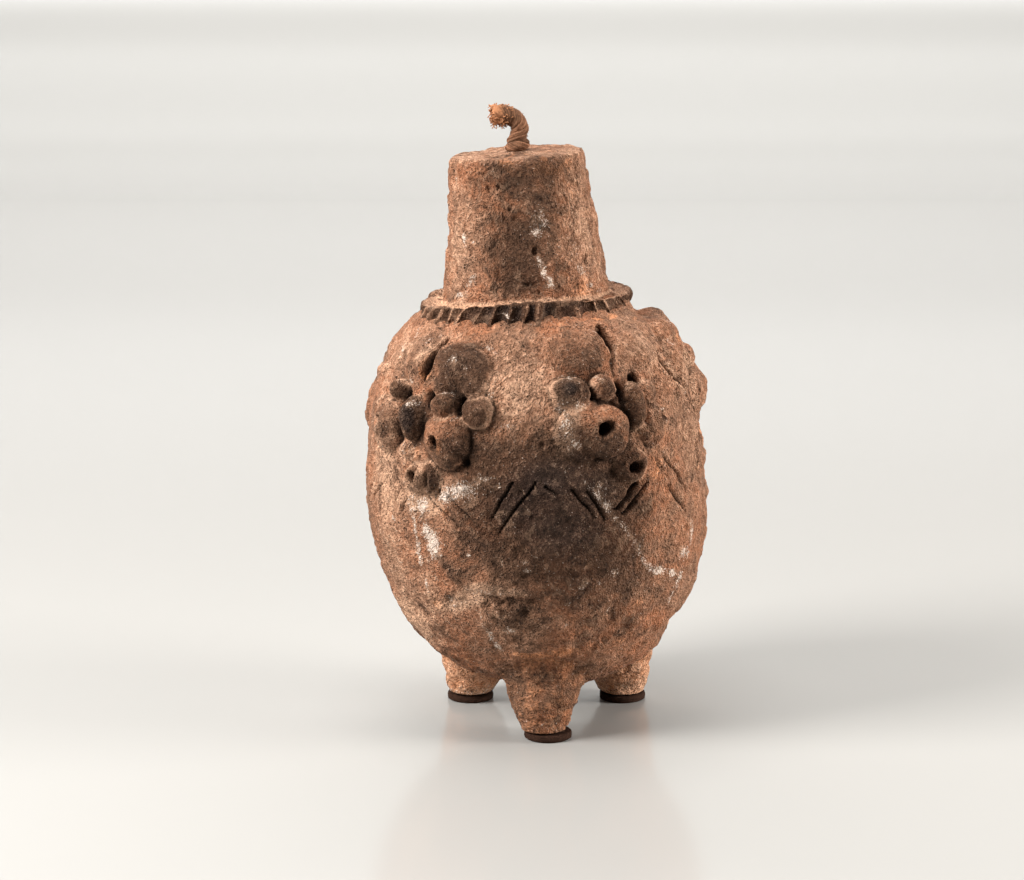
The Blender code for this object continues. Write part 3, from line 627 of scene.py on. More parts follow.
ORANGE = (
    (34, 107.5, 1.2, 1.4, 0, 1.5), (38.4, 104.5, 0.7, 4.0, 0, 1.6),
    (-30.4, 96.4, 1.3, 1.8, 0, 1.4), (35, 174, 10, 3, 0, 0.6), (18, 173.5, 12, 3, 0, 0.6),
    (-40.5, 45.2, 2.4, 1.6, -20, 1.4), (-49.8, 42, 1.5, 0.9, 0, 1.0),
    (-10, 176.5, 2.5, 1.8, 0, 1.2), (-7.3, 174.4, 0.9, 0.9, 0, 1.3),
    (23, 176.6, 1.8, 0.9, 0, 1.0), (-35.5, 174.8, 2.5, 1.5, 0, 0.8),
    (46.5, 165.2, 1.2, 3.7, 0, 0.8), (-9.5, 158.5, 1.2, 1.2, 0, 0.9),
    (-45.6, 115.6, 1.2, 1.2, 30, 1.3), (37.5, 128.8, 2.5, 0.8, -25, 1.5),
    (47.5, 128.6, 3.1, 1.5, 0, 1.2), (47, 107.5, 1.2, 0.8, 0, 1.2),
    (74.2, 117.8, 1.8, 2.5, 0, 0.8), (-55.8, 129.6, 6.1, 1.8, 0, 0.4),
    (16.8, 129, 3.1, 1.5, 0, 0.7), (60.8, 126.8, 4.3, 1.5, 0, 0.8),
    (-48.5, 102.5, 1.5, 1.2, 0, 1.0), (-43.8, 93.2, 3.0, 3.4, 0, 1.2),
    (-51, 85, 1.8, 2.5, 0, 0.8), (-31, 76, 1.8, 2.1, -30, 1.0), (-5.2, 74.5, 3.1, 4.3, 30, 0.6),
    (-11.8, 94, 2.5, 1.2, 0, 0.6), (43, 84.8, 3.1, 4.9, -30, 0.8), (39.5, 67.2, 4.3, 4.3, 0, 0.5),
    (36, 46, 4.3, 3.1, 0, 0.6), (40, 40, 14, 12, 0, 0.25), (0, 30, 22, 6, 0, 0.3),
    (46, 137, 8, 5, 0, 0.9), (46.2, 93.2, 2.5, 4.3, 0, 0.6), (-4.2, 29.8, 6.7, 1.8, 0, 0.9),
    (10, 31.2, 4.9, 1.8, 0, 0.9), (-67, 25.5, 3.7, 2.5, 0, 0.8), (-39.2, 24.8, 3.7, 1.5, 0, 0.8),
    (34.2, 32.5, 3.7, 2.5, 0, 0.8), (90, 60, 20, 30, 0, 0.5), (-100, 60, 20, 30, 0, 0.5),
    (160, 40, 30, 14, 0, 0.6), (-150, 30, 20, 8, 0, 0.7), (120, 128, 16, 3, 0, 0.8),
)
LIME = (
    (-37.2, 65.0, 2.5, 4.8, -14, 1.6), (-39.4, 69.4, 1.7, 2.2, 0, 1.4),
    (-41.0, 76.2, 2.6, 3.0, 0, 1.2), (-43.2, 52, 0.9, 2.5, 0, 1.1),
    (-55.2, 70.8, 0.9, 1.2, 0, 0.9), (-24.8, 62.5, 0.7, 0.7, 0, 1.7),
    (-12.5, 61.2, 0.6, 1.2, 0, 0.8), (-5, 61, 1.2, 0.9, 0, 0.9), (-5, 58.5, 0.9, 0.9, 0, 1.0),
    (-1.8, 62.8, 0.9, 0.8, 0, 0.8), (-38, 54.5, 0.9, 1.2, 0, 0.8),
    (-34.8, 47.2, 0.9, 1.5, 0, 0.9), (-12.5, 38.5, 2.5, 1.2, 0, 1.0),
    (-20.8, 36, 0.9, 2.1, 0, 0.7), (-19.8, 31.8, 1.2, 1.2, 0, 1.0), (44.2, 54, 1.8, 1.5, 0, 1.2),
    (50.8, 52, 1.6, 1.6, 0, 1.1), (56, 49.8, 1.2, 3.0, 0, 1.2), (54, 44, 0.8, 3.4, 0, 1.1),
    (56.8, 57.5, 3.0, 2.0, 0, 1.1), (61.5, 62.8, 1.4, 4.4, 0, 1.0),
    (25.5, 56.2, 1.2, 1.5, 0, 0.9), (15, 54, 1.2, 0.5, 0, 0.8), (13.2, 52.2, 1.2, 1.2, 0, 0.7),
    (4.8, 51, 1.8, 0.6, 20, 0.7), (9.2, 47.5, 1.5, 0.9, 20, 0.7), (20.2, 53, 0.9, 0.9, 0, 0.8),
    (23.5, 44.5, 0.5, 0.4, 0, 1.7), (8.8, 40.8, 0.4, 0.5, 0, 1.7), (-25.5, 83, 5.4, 2.6, 8, 1.3),
    (-47, 94, 3, 4, 0, 0.5), (-31.0, 80.2, 3.1, 1.8, 0, 1.1), (-17, 86.2, 2.5, 1.2, 10, 0.8),
    (-12, 84.5, 1.2, 0.9, 0, 0.8), (-44.5, 78.8, 1.2, 1.2, 0, 0.9),
    (-38.5, 78.2, 1.8, 1.5, 0, 0.8), (-48.8, 153.8, 1.0, 1.8, 0, 1.7),
    (-40, 153.2, 0.8, 0.6, 0, 0.9), (-66, 171.2, 0.9, 0.8, 0, 1.2),
    (14.8, 157.8, 2.8, 4.3, 0, 0.7), (10.5, 155.2, 1.2, 1.2, 0, 0.7),
    (12, 146.8, 1.0, 1.8, -25, 0.7), (15, 143.2, 1.0, 1.8, -25, 0.8),
    (19, 140, 1.0, 2.1, -25, 0.8), (46.8, 142, 2.5, 1.4, -30, 1.1),
    (44.5, 149.5, 1.5, 1.8, 0, 0.7), (-42.8, 141.5, 2.5, 0.9, 45, 0.9),
    (-54.5, 136.8, 1.8, 1.2, 0, 1.2), (54.5, 137, 1.2, 0.9, 0, 1.2),
    (62.5, 134.8, 1.8, 0.6, 0, 0.8), (-52.4, 113.4, 1.0, 1.0, 0, 1.2),
    (-30.4, 119.5, 1.5, 1.5, 0, 0.9), (-24.6, 117.5, 0.9, 1.8, 0, 0.6),
    (-33, 110.8, 2.1, 0.7, 0, 1.2), (-44.5, 107.2, 1.5, 1.2, 0, 1.2),
    (-27.2, 103.5, 0.9, 0.9, 0, 0.9), (-15.8, 110.8, 0.9, 0.9, 0, 0.8),
    (-17.2, 123.5, 2.8, 0.8, -30, 0.8), (-9.2, 102.2, 2.5, 0.9, 0, 0.8),
    (-9.8, 131.8, 0.7, 2.4, 15, 1.5), (-64.8, 126.2, 1.2, 2.5, 30, 0.7),
    (-49.8, 124.8, 0.9, 2.1, 30, 0.7), (-64.8, 120.8, 1.2, 2.5, 25, 0.7),
    (-45.5, 126.8, 1.5, 0.6, 30, 0.6), (-22, 51, 5, 1.3, 10, 0.6), (-31, 45.8, 5, 1.4, 16, 0.6),
    (-14, 51.2, 3, 0.8, 0, 0.5), (22.4, 113, 0.9, 1.8, 30, 0.9), (13, 114.5, 2.5, 0.9, 0, 0.8),
    (8.0, 106.8, 1.8, 1.5, 0, 0.9), (15, 106.6, 1.8, 1.4, 40, 0.9),
    (10.2, 101.5, 2.1, 3.7, 0, 0.9), (12.8, 96.2, 1.8, 1.8, 0, 0.7),
    (46.8, 102.0, 1.5, 0.5, 0, 1.3), (46.8, 97.9, 1.3, 0.4, 0, 1.1),
    (46.4, 100.5, 0.5, 0.5, 0, 1.6), (77.5, 122.5, 1.8, 1.2, -30, 0.9),
    (67, 117.5, 1.2, 1.5, 0, 0.9), (68.8, 114.2, 0.9, 1.8, -30, 0.7),
    (66.5, 104.8, 0.9, 2.5, 0, 0.8), (21.2, 81.8, 2.5, 2.8, -45, 0.5),
    (23.8, 77, 1.5, 1.8, -45, 0.6), (150, 70, 5.0, 7.0, 0, 0.8), (-150, 60, 4.0, 8.0, 0, 0.8),
    (-120, 100, 3.0, 3.0, 0, 0.7), (130, 120, 4.0, 3.0, 0, 0.8), (160, 150, 3.0, 4.0, 0, 0.9),
    (100, 70, 3.0, 3.0, 0, 0.9), (-95, 75, 2.0, 5.0, 0, 0.8), (-170, 100, 3.0, 3.0, 0, 0.9),
    (-130, 150, 2.0, 3.0, 0, 0.9), (110, 145, 2.0, 2.0, 0, 1.0),
)
# roots left pale lines: azimuth and height of each bend, and the strength there
ROOT_LINES = (
    ((14, 87, 0.3), (20, 80, 0.5), (25, 74, 0.5), (32, 66, 0.6), (36, 59, 0.7),
     (41, 55, 0.6), (50, 53, 0.3), (64, 48, 0.3)),
    ((-46.5, 78, 0.6), (-44.5, 73, 0.9), (-44.0, 67, 1.0), (-43.8, 58, 0.6)),
    ((-24, 44, 0.4), (-21, 38, 0.5), (-19.5, 34, 0.5), (-18.6, 30, 0.4)),
    ((11, 148, 0.4), (14.5, 144, 0.6), (19, 139, 0.5)),
    ((-55, 72, 0.2), (-54, 64, 0.4), (-55, 56, 0.2)),
    ((-38, 143, 0.3), (-44, 140, 0.4), (-50, 136, 0.3)),
    ((20, 129, 0.3), (27, 126, 0.4), (30, 124, 0.2)),
)
ROOT_WIDTH = 0.8
# how far round a point its hollow and its ridge are looked for, as passes of averaging
WIDE_PASSES, NARROW_PASSES = 36, 14
# soot that lumps gain and rims lose, pale wear and painted highlight on rims, and dirt and
# painted shade along cuts
LUMP_SOOT, RIM_LOSS, RIM_WEAR_AND_HIGHLIGHT, CUT_SHADE_AND_DIRT = 0.35, 0.45, 0.9, 0.8


def patches(wall, spots):
    """Spots added up, each strength times e to the power of minus the reach squared."""
    return sum(strength * np.exp(-wall.reach(*oval) ** 2) for *oval, strength in spots)


def root_lines(wall):
    """Closeness to the bent lines: the strength on a line, falling off over its width."""
    mark = np.zeros(wall.azimuth.shape)
    for line in ROOT_LINES:
        for (start, start_height, strong), (end, end_height, _) in zip(line, line[1:]):
            groove = wall.groove(start, start_height, end, end_height, 2 * ROOT_WIDTH, -1.0)
            mark = np.maximum(mark, strong * np.clip(groove, 0, 1))
    return mark


def finish_values(wall, relief, ring=False, lumps=0.0, rims=0.0, cuts=0.0):
    """The four patch values, and how far each point lies below or above its surroundings."""
    # soot, with painted shade where spots are set in hollows, a hole and the slit
    soot_and_shade = patches(wall, SOOT_AND_SHADE) + LUMP_SOOT * soft_step(0.3, 2.0, lumps) - RIM_LOSS * rims
    # dirt and painted shade: how far a point lies below its surroundings, and the cut lines, later
    # darken the colour
    hollow = np.clip(spread(relief, WIDE_PASSES, ring) - relief, 0, None) + CUT_SHADE_AND_DIRT * cuts
    # rims turn pale partly as wear and partly as a painted highlight
    return {"soot_and_shade": soot_and_shade, "pale": patches(wall, PALE) + RIM_WEAR_AND_HIGHLIGHT * rims,
            "orange": patches(wall, ORANGE), "lime": patches(wall, LIME) + root_lines(wall),
            "hollow": hollow,
            "ridge": np.clip(relief - spread(relief, NARROW_PASSES, ring), 0, None)}


# %% [markdown]
# Every clay surface gets the same skin: long swells from the hands, smaller dents, flakes, pits
# where grit fell out, and faint lines from wiping, which run round the jar low down and upright
# on the neck.

# %% Skin of the clay
# how high or deep each kind of unevenness goes
SWELLS, DENTS, DIMPLES, WIPES, STREAKS, FLAKES = 0.60, 0.36, 0.34, 0.30, 0.20, 0.30
SMALL_PITS, LARGE_PITS = 0.6, 0.9
# lines from wiping are noise drawn out along them: round the jar low down, upright on the neck
ROUND, UPRIGHT = np.array([0.25, 0.25, 1.0]), np.array([1.0, 1.0, 0.2])


def clay_skin(points, swell=1.0):
    """Swells, dents, flakes, wiping lines and pits added up, in millimetres.

    The swells and dents are multiplied by swell: -1 trades their high and low places."""
    height = points[..., 2]
    wiped = noise(points * ROUND, 1.7, 31) * soft_step(60, 35, height)
    streaked = noise(points * UPRIGHT, 1.9, 37) * soft_step(128, 140, height)
    flakes = soft_step(0.05, 0.16, rough(points, 9.0, 61, 3))
    flakes += soft_step(0.22, 0.30, rough(points, 6.0, 67, 3))
    skin = swell * (SWELLS * noise(points, 21.0, 11) + DENTS * rough(points, 8.0, 17, 2))
    skin += (DIMPLES * rough(points, 2.9, 23, 3) + WIPES * wiped + STREAKS * streaked
             + FLAKES * flakes)
    skin -= SMALL_PITS * pits(points, 4.0, 0.8, 0.40, 41)
    return skin - LARGE_PITS * pits(points, 11.0, 1.4, 0.25, 47)


# %% [markdown]
# The egg is worked out as one grid, rows up the outside and columns round it, with rows and
# columns crowded together in front, where the finest relief is. It is then cut into two closed
# shells, as big meshes are slow to handle: a bowl for the lower half and a ring for the upper
# one. The two overlap by a few rows and cross there at a tiny angle, so the cut can't be seen.
# No mark goes deeper than DEEPEST, which is less than the wall, so none breaks through.

# %% The body
FINE, COARSE, MEAN_RADIUS = 0.50, 1.30, 48.0
CUT_HEIGHT, OVERLAP, CROSSING = 67.0, 4, 0.03
INSIDE_ROWS = 10
DEEPEST = -4.4


def body_rows():
    """Row numbers in the outline table, wide apart only on the underside."""
    spacing = np.interp(HEIGHTS, (15, 24, 60, 80, 84), (COARSE, 0.72, 0.62, 0.56, FINE))
    return evenly(OUTLINE, spacing)


def body_columns():
    """Azimuths round the jar, close together in front."""
    table = np.radians(np.linspace(-180, 180, 1441))
    spacing = np.interp(np.degrees(table), (-180, -90, -76, 84, 98, 180),
                        (1.15, 1.05, 0.55, 0.55, 1.05, 1.15))
    numbers = evenly(np.stack([table * MEAN_RADIUS], -1), spacing)
    return np.interp(numbers[:-1], np.arange(len(table)), table)


def body_grid():
    """Outside points pushed out by lumps, marks and skin, inside points a wall away, and values."""
    height = np.interp(body_rows(), np.arange(len(HEIGHTS)), HEIGHTS)[:, None]
    height, azimuth = np.broadcast_arrays(height, body_columns()[None, :])
    wall = Wall(azimuth, height)
    plain = place(wall.radius, azimuth, height)
    normal = outward(plain)
    lumps, rims = masks(wall)
    marks, cuts = tool_marks(wall)
    relief = np.maximum(lumps + marks, DEEPEST)
    skinned = plain + normal * relief[..., None]
    outside = skinned + normal * clay_skin(skinned)[..., None]
    values = finish_values(wall, relief, False, lumps, rims, cuts)
    return height[:, 0], outside, normal, plain - WALL * normal, values


def make_body():
    """The grid cut in two: the lower shell closes at the underside, the upper one is a ring."""
    height, outside, normal, inside, values = body_grid()
    cut = int(np.argmax(height > CUT_HEIGHT))
    pieces = []
    for name, side, first, end in (("jar_lower", -1, 0, cut + OVERLAP),
                                   ("jar_upper", 1, cut - OVERLAP, len(height))):
        rows = np.arange(first, end)
        sink = CROSSING * np.clip(OVERLAP - side * (rows - cut), 0, 2 * OVERLAP) / OVERLAP
        sink = np.where(abs(rows - cut) <= OVERLAP, sink, 0)
        skin = outside[rows] - sink[:, None, None] * normal[rows]
        back = rows[np.linspace(len(rows) - 1, 0, INSIDE_ROWS).round().astype(int)]
        kept = {label: np.concatenate([value[rows], 0 * value[back]])
                for label, value in values.items()}
        points = np.concatenate([skin, inside[back]])
        pieces.append(shell(name, points, ring=name == "jar_upper", **kept))
    return pieces


bodies = make_body()
print("body:", [count_triangles(piece) for piece in bodies], "triangles")

# %% [markdown]
# Neck, crown and collar are one ring of clay turned round the wick hole. Its outline starts at
# the hole's rim, runs out over the crown, down the neck to the ledge and the notched face of the
# collar, then back inside. Each corner also says how deep the notches press there and how rough
# the skin is. The collar's foot is hollowed at the right, and some notches are worn away.

# %% The neck and its collar
WICK_HOLE, CROWN_THICK, CROWN_ROUND = 3.2, 5.8, 1.9
COLLAR_RADIUS, COLLAR_FOOT = 32.2, 9.0
NOTCHES, NOTCH_DEPTH, NOTCH_LEAN = 37, 1.8, 0.9
# sines that make the notches uneven: size, waves round the collar, start
NOTCH_WANDER = ((0.22, 3, 1), (0.16, 7, 0), (0.08, 17, 0))
# places where notches are worn away: azimuth, half width (radians), share lost, power of the edge
NOTCH_WEAR = ((0.28, 0.20, 0.45, 2), (1.65, 0.30, 0.85, 4), (-1.62, 0.22, 0.80, 4))
UNDERCUT = 3.0
LEDGE_DROP, LEDGE_SIDE_DROP, LEDGE_RIGHT_DROP = -0.4, 2.6, 0.1
NECK_COLUMNS, COLLAR_STEP, NECK_STEP, HIDDEN_STEP = 518, 0.4, 0.62, 2.6
# the neck's swells and dents lie the other way round, and it is worn down a little all over
NECK_SWELL, NECK_WEAR, NOTCH_DENTS = -1.0, 0.3, 0.7
SOFTENING = 16


def neck_corners():
    """Radius, height, share of the notch and share of the skin at each corner of the outline."""
    side = np.linspace(CROWN - CROWN_ROUND, COLLAR_TOP + 3, 12)
    rows = [(WICK_HOLE, CROWN + 0.2, 0, 0.2), (6, CROWN - 0.3, 0, 0.5), (11, CROWN - 0.6, 0, 0.6),
            (CROWN_RADIUS - CROWN_ROUND, CROWN - 0.1, 0, 0.8),
            (CROWN_RADIUS - 0.4, CROWN - 0.6, 0, 1)]
    rows += [(float(neck_radius(height)), height, 0, 1) for height in side]
    rows += [(NECK_BASE + 0.5, COLLAR_TOP - 0.4, 0, 1), (NECK_BASE + 2.4, COLLAR_TOP - 1.2, 0, 1),
             (COLLAR_RADIUS - 2.6, COLLAR_TOP - 0.6, 0.1, 1),
             (COLLAR_RADIUS - 1.0, COLLAR_TOP + 0.3, 0.3, 1),
             (COLLAR_RADIUS + 0.2, COLLAR_TOP - 0.3, 0.8, 1),
             (COLLAR_RADIUS + 1.1, COLLAR_TOP - 5.4, 1, 1),
             (COLLAR_RADIUS + 2.5, COLLAR_TOP - 7.3, 0.8, 1),
             (COLLAR_RADIUS + 4.4, COLLAR_TOP - COLLAR_FOOT, 0.2, 1),
             (COLLAR_RADIUS - 4, COLLAR_TOP - COLLAR_FOOT - 0.3, 0, 0),
             (NECK_BASE - WALL - 0.6, COLLAR_TOP - 6, 0, 0)]
    rows += [(float(neck_radius(height)) - WALL, height, 0, 0)
             for height in np.linspace(COLLAR_TOP + 2, CROWN - CROWN_THICK - 3, 6)]
    rows += [(CROWN_RADIUS - WALL - 3, CROWN - CROWN_THICK, 0, 0),
             (WICK_HOLE, CROWN - CROWN_THICK, 0, 0)]
    return np.array(rows)


def rounded_ring(corners):
    """The closed outline in small steps, its corners softened by averaging neighbours."""
    closed = np.vstack([corners, corners[:1]])
    length = lengths(closed[:, :2])
    steps = np.arange(0, length[-1], 0.2)
    dense = np.stack([np.interp(steps, length, column) for column in closed.T], -1)
    for _ in range(SOFTENING):
        dense = (np.roll(dense, 1, 0) + 2 * dense + np.roll(dense, -1, 0)) / 4
    spacing = np.where(abs(dense[:, 1] - COLLAR_TOP + 3) < 5, COLLAR_STEP, NECK_STEP)
    numbers = evenly(dense[:, :2], np.where(dense[:, 3] > 0.1, spacing, HIDDEN_STEP))
    return np.stack([np.interp(numbers, np.arange(len(dense)), column) for column in dense.T], -1)


def notch_press(azimuth, height):
    """How deep a stick pressed each notch, and how high the clay stands between two of them.

    A notch is widest at the top and pointed below, and leans on the viewer's left."""
    up = (height - COLLAR_TOP + 7.4) / 7.0
    turn = azimuth / (2 * math.pi) * NOTCHES + NOTCH_LEAN * (0.5 - up) * np.cos(azimuth + 1.1)
    for size, waves, start in NOTCH_WANDER:
        turn = turn + size * np.sin(waves * azimuth + start)
    number = np.floor(turn).astype(np.int64) % NOTCHES
    chance = [0.5 + 0.5 * each for each in chances(number, 3, 61)]
    part = turn - np.floor(turn) - 0.5 - 0.10 * (chance[0] - 0.5)
    half = (0.37 + 0.12 * np.clip(up, 0, 1)) * (0.90 + 0.2 * chance[1])
    inside = np.clip(1 - (part / half) ** 2, 0, 1)
    inside *= soft_step(-0.25 - 0.3 * chance[2], 0.35, up) * (1 - soft_step(0.92, 1.12, up))
    between = np.exp(-((abs(part) - 0.46) / 0.12) ** 2) * soft_step(0, 0.3, up)
    between *= 1 - soft_step(0.9, 1.1, up)
    worn = 1
    for middle, width, share, power in NOTCH_WEAR:
        worn = worn - share * np.exp(-((azimuth - middle) / width) ** power)
    depth = NOTCH_DEPTH * (0.35 + 0.8 * chance[0]) * inside * worn
    return depth, between * worn * (0.1 + 0.9 * chance[2] ** 2)


def make_neck():
    """The ring turned round the axis, its collar face notched, with skin on the outside."""
    # the corners are listed downwards, so the rows are turned round and the faces point outwards
    outline = rounded_ring(neck_corners())[::-1]
    azimuth = np.linspace(-math.pi, math.pi, NECK_COLUMNS + 1)[:-1][None, :]
    radius, height, notch, skin = (np.broadcast_to(column[:, None], (len(outline), NECK_COLUMNS))
                                   for column in outline.T)
    azimuth = np.broadcast_to(azimuth, radius.shape)
    outside = skin > 0.05
    foot = soft_step(-0.6, -6.0, height - COLLAR_TOP) * (radius > NECK_BASE + 4)
    radius = radius - UNDERCUT * soft_step(0.8, 1, np.sin(azimuth - 0.17)) * foot
    drop = LEDGE_DROP + LEDGE_SIDE_DROP * np.sin(azimuth) ** 2 + LEDGE_RIGHT_DROP * np.sin(azimuth)
    drop = drop * soft_step(COLLAR_TOP + 7, COLLAR_TOP, height)
    height = height - drop * outside
    wall = Wall(azimuth, height)
    notches, between = notch_press(azimuth, height + drop)
    press = notch * (notches - 0.35 * between)
    plain = place(radius - press, azimuth, height)
    normal = outward(plain, ring=True)
    chipped = chips(wall)
    marks = skin * (clay_skin(plain, NECK_SWELL) + chipped - NECK_WEAR)
    points = plain + normal * (marks - NOTCH_DENTS * notch * noise(plain, 3.6, 95))[..., None]
    values = finish_values(wall, skin * chipped - 0.6 * press, ring=True)
    ledge = soft_step(COLLAR_TOP + 1.0, COLLAR_TOP - 0.4, height + drop) * (1 - notch) * outside
    # painted shade: the pressed notches are darkened through the soot value
    values["soot_and_shade"] += 0.5 * soft_step(0.2, 1.0, press) + 1.3 * notch * (1 - between)
    values["orange"] += 0.45 * notch * between + 1.1 * ledge
    values["pale"] += 0.9 * notch * between + 1.35 * ledge
    return shell("jar_neck", points, ring=True, **values)


neck = make_neck()
print("neck:", count_triangles(neck), "triangles")

# %% [markdown]
# Each foot is a cone of clay smeared on to the underside. Its wall runs up from the tip until it
# meets the egg and then turns out along it. Averaging that path rounds the corner into the fillet
# that a thumb leaves.

# %% The feet
PAD_TOP, GLUE = 2.3, 0.3
FOOT_TIP, FOOT_ROOT, FOOT_LENGTH, FOOT_SPLAY, FOOT_POWER = 6.7, 15.8, 28.0, 6.2, 0.86
FEET = (("front", 0, -1.4), ("right", 120, 0.0), ("left", 240, 0.0))
FOOT_COLUMNS, FOOT_WALL_ROWS, FOOT_SKIRT_ROWS, FOOT_CAP_ROWS = 120, 64, 26, 5
SKIRT_WIDTH, SKIRT_SINK = 8.0, 0.7
FILLET_PASSES = 60
# what each foot's patches gain: orange, soot and pale all over, and lime near the tip; on the
# right and left feet the gains are partly painted light, brightening them
FOOT_TONES_AND_LIGHT = {"front": (0.7, 0.7, 0.0, 0.2), "right": (2.0, 0.0, 0.85, 0.2),
              "left": (1.3, 0.0, 0.7, 0.6)}


def underside_height(across, back, inset=0.0):
    """Height of the egg's lower half over a point, from three guesses, each nearer."""
    lower = OUTLINE[HEIGHTS <= BELLY]
    height = np.full(across.shape, 20.0)
    for _ in range(3):
        aside = across - lean(height)
        height = np.interp(np.hypot(aside, back), lower[:, 0], lower[:, 1])
    return height + aside * tilt(height) + inset


def foot_path(degrees, shift):
    """Rows up the cone's wall to the egg and out along the egg, for every angle round the foot."""
    turn = np.linspace(0, 2 * math.pi, FOOT_COLUMNS + 1)[:-1]
    ray = np.stack([np.cos(turn), np.sin(turn)], -1)
    away = np.array([math.sin(math.radians(degrees)), -math.cos(math.radians(degrees))])
    share = np.linspace(0, 1, 400)[:, None, None]
    centre = away * (FEET_CIRCLE - FOOT_SPLAY * share) + np.array([shift, 0])
    radius = FOOT_TIP + (FOOT_ROOT - FOOT_TIP) * share ** FOOT_POWER
    flat = centre + radius * ray
    height = np.broadcast_to(PAD_TOP + GLUE + FOOT_LENGTH * share, flat.shape[:2] + (1,))
    meets = height[..., 0] > underside_height(flat[..., 0], flat[..., 1])
    last = np.argmax(meets, axis=0)
    rows = (np.linspace(0, 1, FOOT_WALL_ROWS)[:, None] * last).round().astype(int)
    columns = np.arange(FOOT_COLUMNS)[None, :]
    wall = np.concatenate([flat, height], -1)[rows, columns]
    middle = centre[last, 0]
    out = np.linspace(0, SKIRT_WIDTH, FOOT_SKIRT_ROWS)[1:, None, None]
    skirt = wall[-1, :, :2] + out * ray
    sink = SKIRT_SINK * (out[..., 0] / SKIRT_WIDTH) ** 2 - 0.1
    skirt = np.dstack([skirt, underside_height(skirt[..., 0], skirt[..., 1]) + sink])
    path = np.concatenate([wall, skirt])
    for _ in range(FILLET_PASSES):
        path[1:-1] = (path[:-2] + 2 * path[1:-1] + path[2:]) / 4
    inward = np.linspace(1, 0.08, FOOT_CAP_ROWS)[:, None, None]
    cap = middle + (skirt[-1, :, :2] - middle) * inward
    cap = np.dstack([cap, underside_height(cap[..., 0], cap[..., 1], 1.6)])
    return path, cap


def make_foot(label, degrees, shift):
    """A flat tip with a worn edge, the path above it, and a cap hidden inside the wall."""
    path, cap = foot_path(degrees, shift)
    tip = path[:1]
    centre = tip.mean(axis=1, keepdims=True)
    sole = [centre + (tip - centre) * share + np.array([0, 0, rise])
            for share, rise in ((0.05, 0), (0.5, 0), (0.86, 0), (0.965, 0.25))]
    points = np.concatenate([*sole, path[1:], cap])
    normal = outward(points)
    rows = np.arange(len(points))[:, None]
    strength = soft_step(3, 9, rows) * (1 - soft_step(len(points) - 6, len(points) - 5, rows))
    skin = strength * clay_skin(points)
    points = points + normal * skin[..., None]
    wall = Wall(np.arctan2(points[..., 0], -points[..., 1]), np.clip(points[..., 2], 14, None))
    values = finish_values(wall, skin)
    near_tip = soft_step(9, 3, points[..., 2])
    # painted light, in part: the right and left feet are brightened through these gains
    for tone, gain in zip(("orange", "soot_and_shade", "pale", "lime"), FOOT_TONES_AND_LIGHT[label]):
        values[tone] += gain * near_tip if tone == "lime" else gain
    return shell(f"jar_foot_{label}", points, **values)


feet = [make_foot(*row) for row in FEET]
print("feet:", [count_triangles(foot) for foot in feet], "triangles")

# %% [markdown]
# The wick is a cord of many fine yarns laid round each other. Each yarn follows the cord's path
# at a small distance, turning as it goes, and they part in a soft tuft where the end was cut.
# The cord rises from a loop wound round its foot a turn and a quarter, bends over and hangs to
# the left. Loose hairs stand out from its free part, as they do on any cotton cord.

# %% The wick
WICK_RADIUS = 2.6
# across, back, height above the crown, spread of the cord
WICK_ROUTE = np.array((
    (0.0, 0.0, -12.0, 0.95), (0.0, 0.0, -6.0, 0.95), (0.0, 0.0, -0.5, 0.95), (-0.3, 0.1, 1.6, 1.00),
    (0.2, 0.0, 3.4, 0.98), (0.9, 0.0, 5.4, 0.98), (1.1, 0.0, 7.2, 1.02), (0.6, 0.0, 8.8, 1.02),
    (-1.2, 0.0, 10.4, 1.00), (-3.9, -0.1, 11.4, 1.00), (-7.2, -0.3, 11.3, 1.06),
))
# the loop round the foot: radius, height at its start and end, turns, spread
LOOP_RADIUS, LOOP_HEIGHTS, LOOP_TURNS, LOOP_SPREAD = 2.45, (0.8, 3.4), 1.25, 0.56
OUTER_YARNS, INNER_YARNS, YARN_SIDES, YARN_TURNS, YARN_STEPS = 20, 8, 6, 3.0, 110
LOOP_STEPS, LOOP_YARN_TURNS = 60, 2.0
TUFT_THREADS, TUFT_STEPS = 300, 9
HAIRS, HAIR_STEPS = 420, 4


def smooth_route(route, count):
    """Points along a bent line through the given ones, evenly spaced, corners averaged away."""
    length = lengths(route[:, :3])
    steps = np.linspace(0, length[-1], 400)
    dense = np.stack([np.interp(steps, length, column) for column in route.T], -1)
    for _ in range(300):
        dense[1:-1] = (dense[:-2] + 2 * dense[1:-1] + dense[2:]) / 4
    return dense[np.linspace(0, 399, count).round().astype(int)]


def loop_route():
    """A coil round the foot of the cord, rising as it goes and closing in at its end."""
    share = np.linspace(0, 1, 40)
    turn = 2.2 + LOOP_TURNS * 2 * math.pi * share
    radius = LOOP_RADIUS * (1 - 0.5 * soft_step(0.8, 1, share) - 0.3 * soft_step(0.15, 0, share))
    height = LOOP_HEIGHTS[0] + (LOOP_HEIGHTS[1] - LOOP_HEIGHTS[0]) * share
    spread_there = LOOP_SPREAD * (1 - 0.4 * soft_step(0.85, 1, share))
    return np.stack([radius * np.cos(turn) + 0.3, radius * np.sin(turn), height, spread_there], -1)


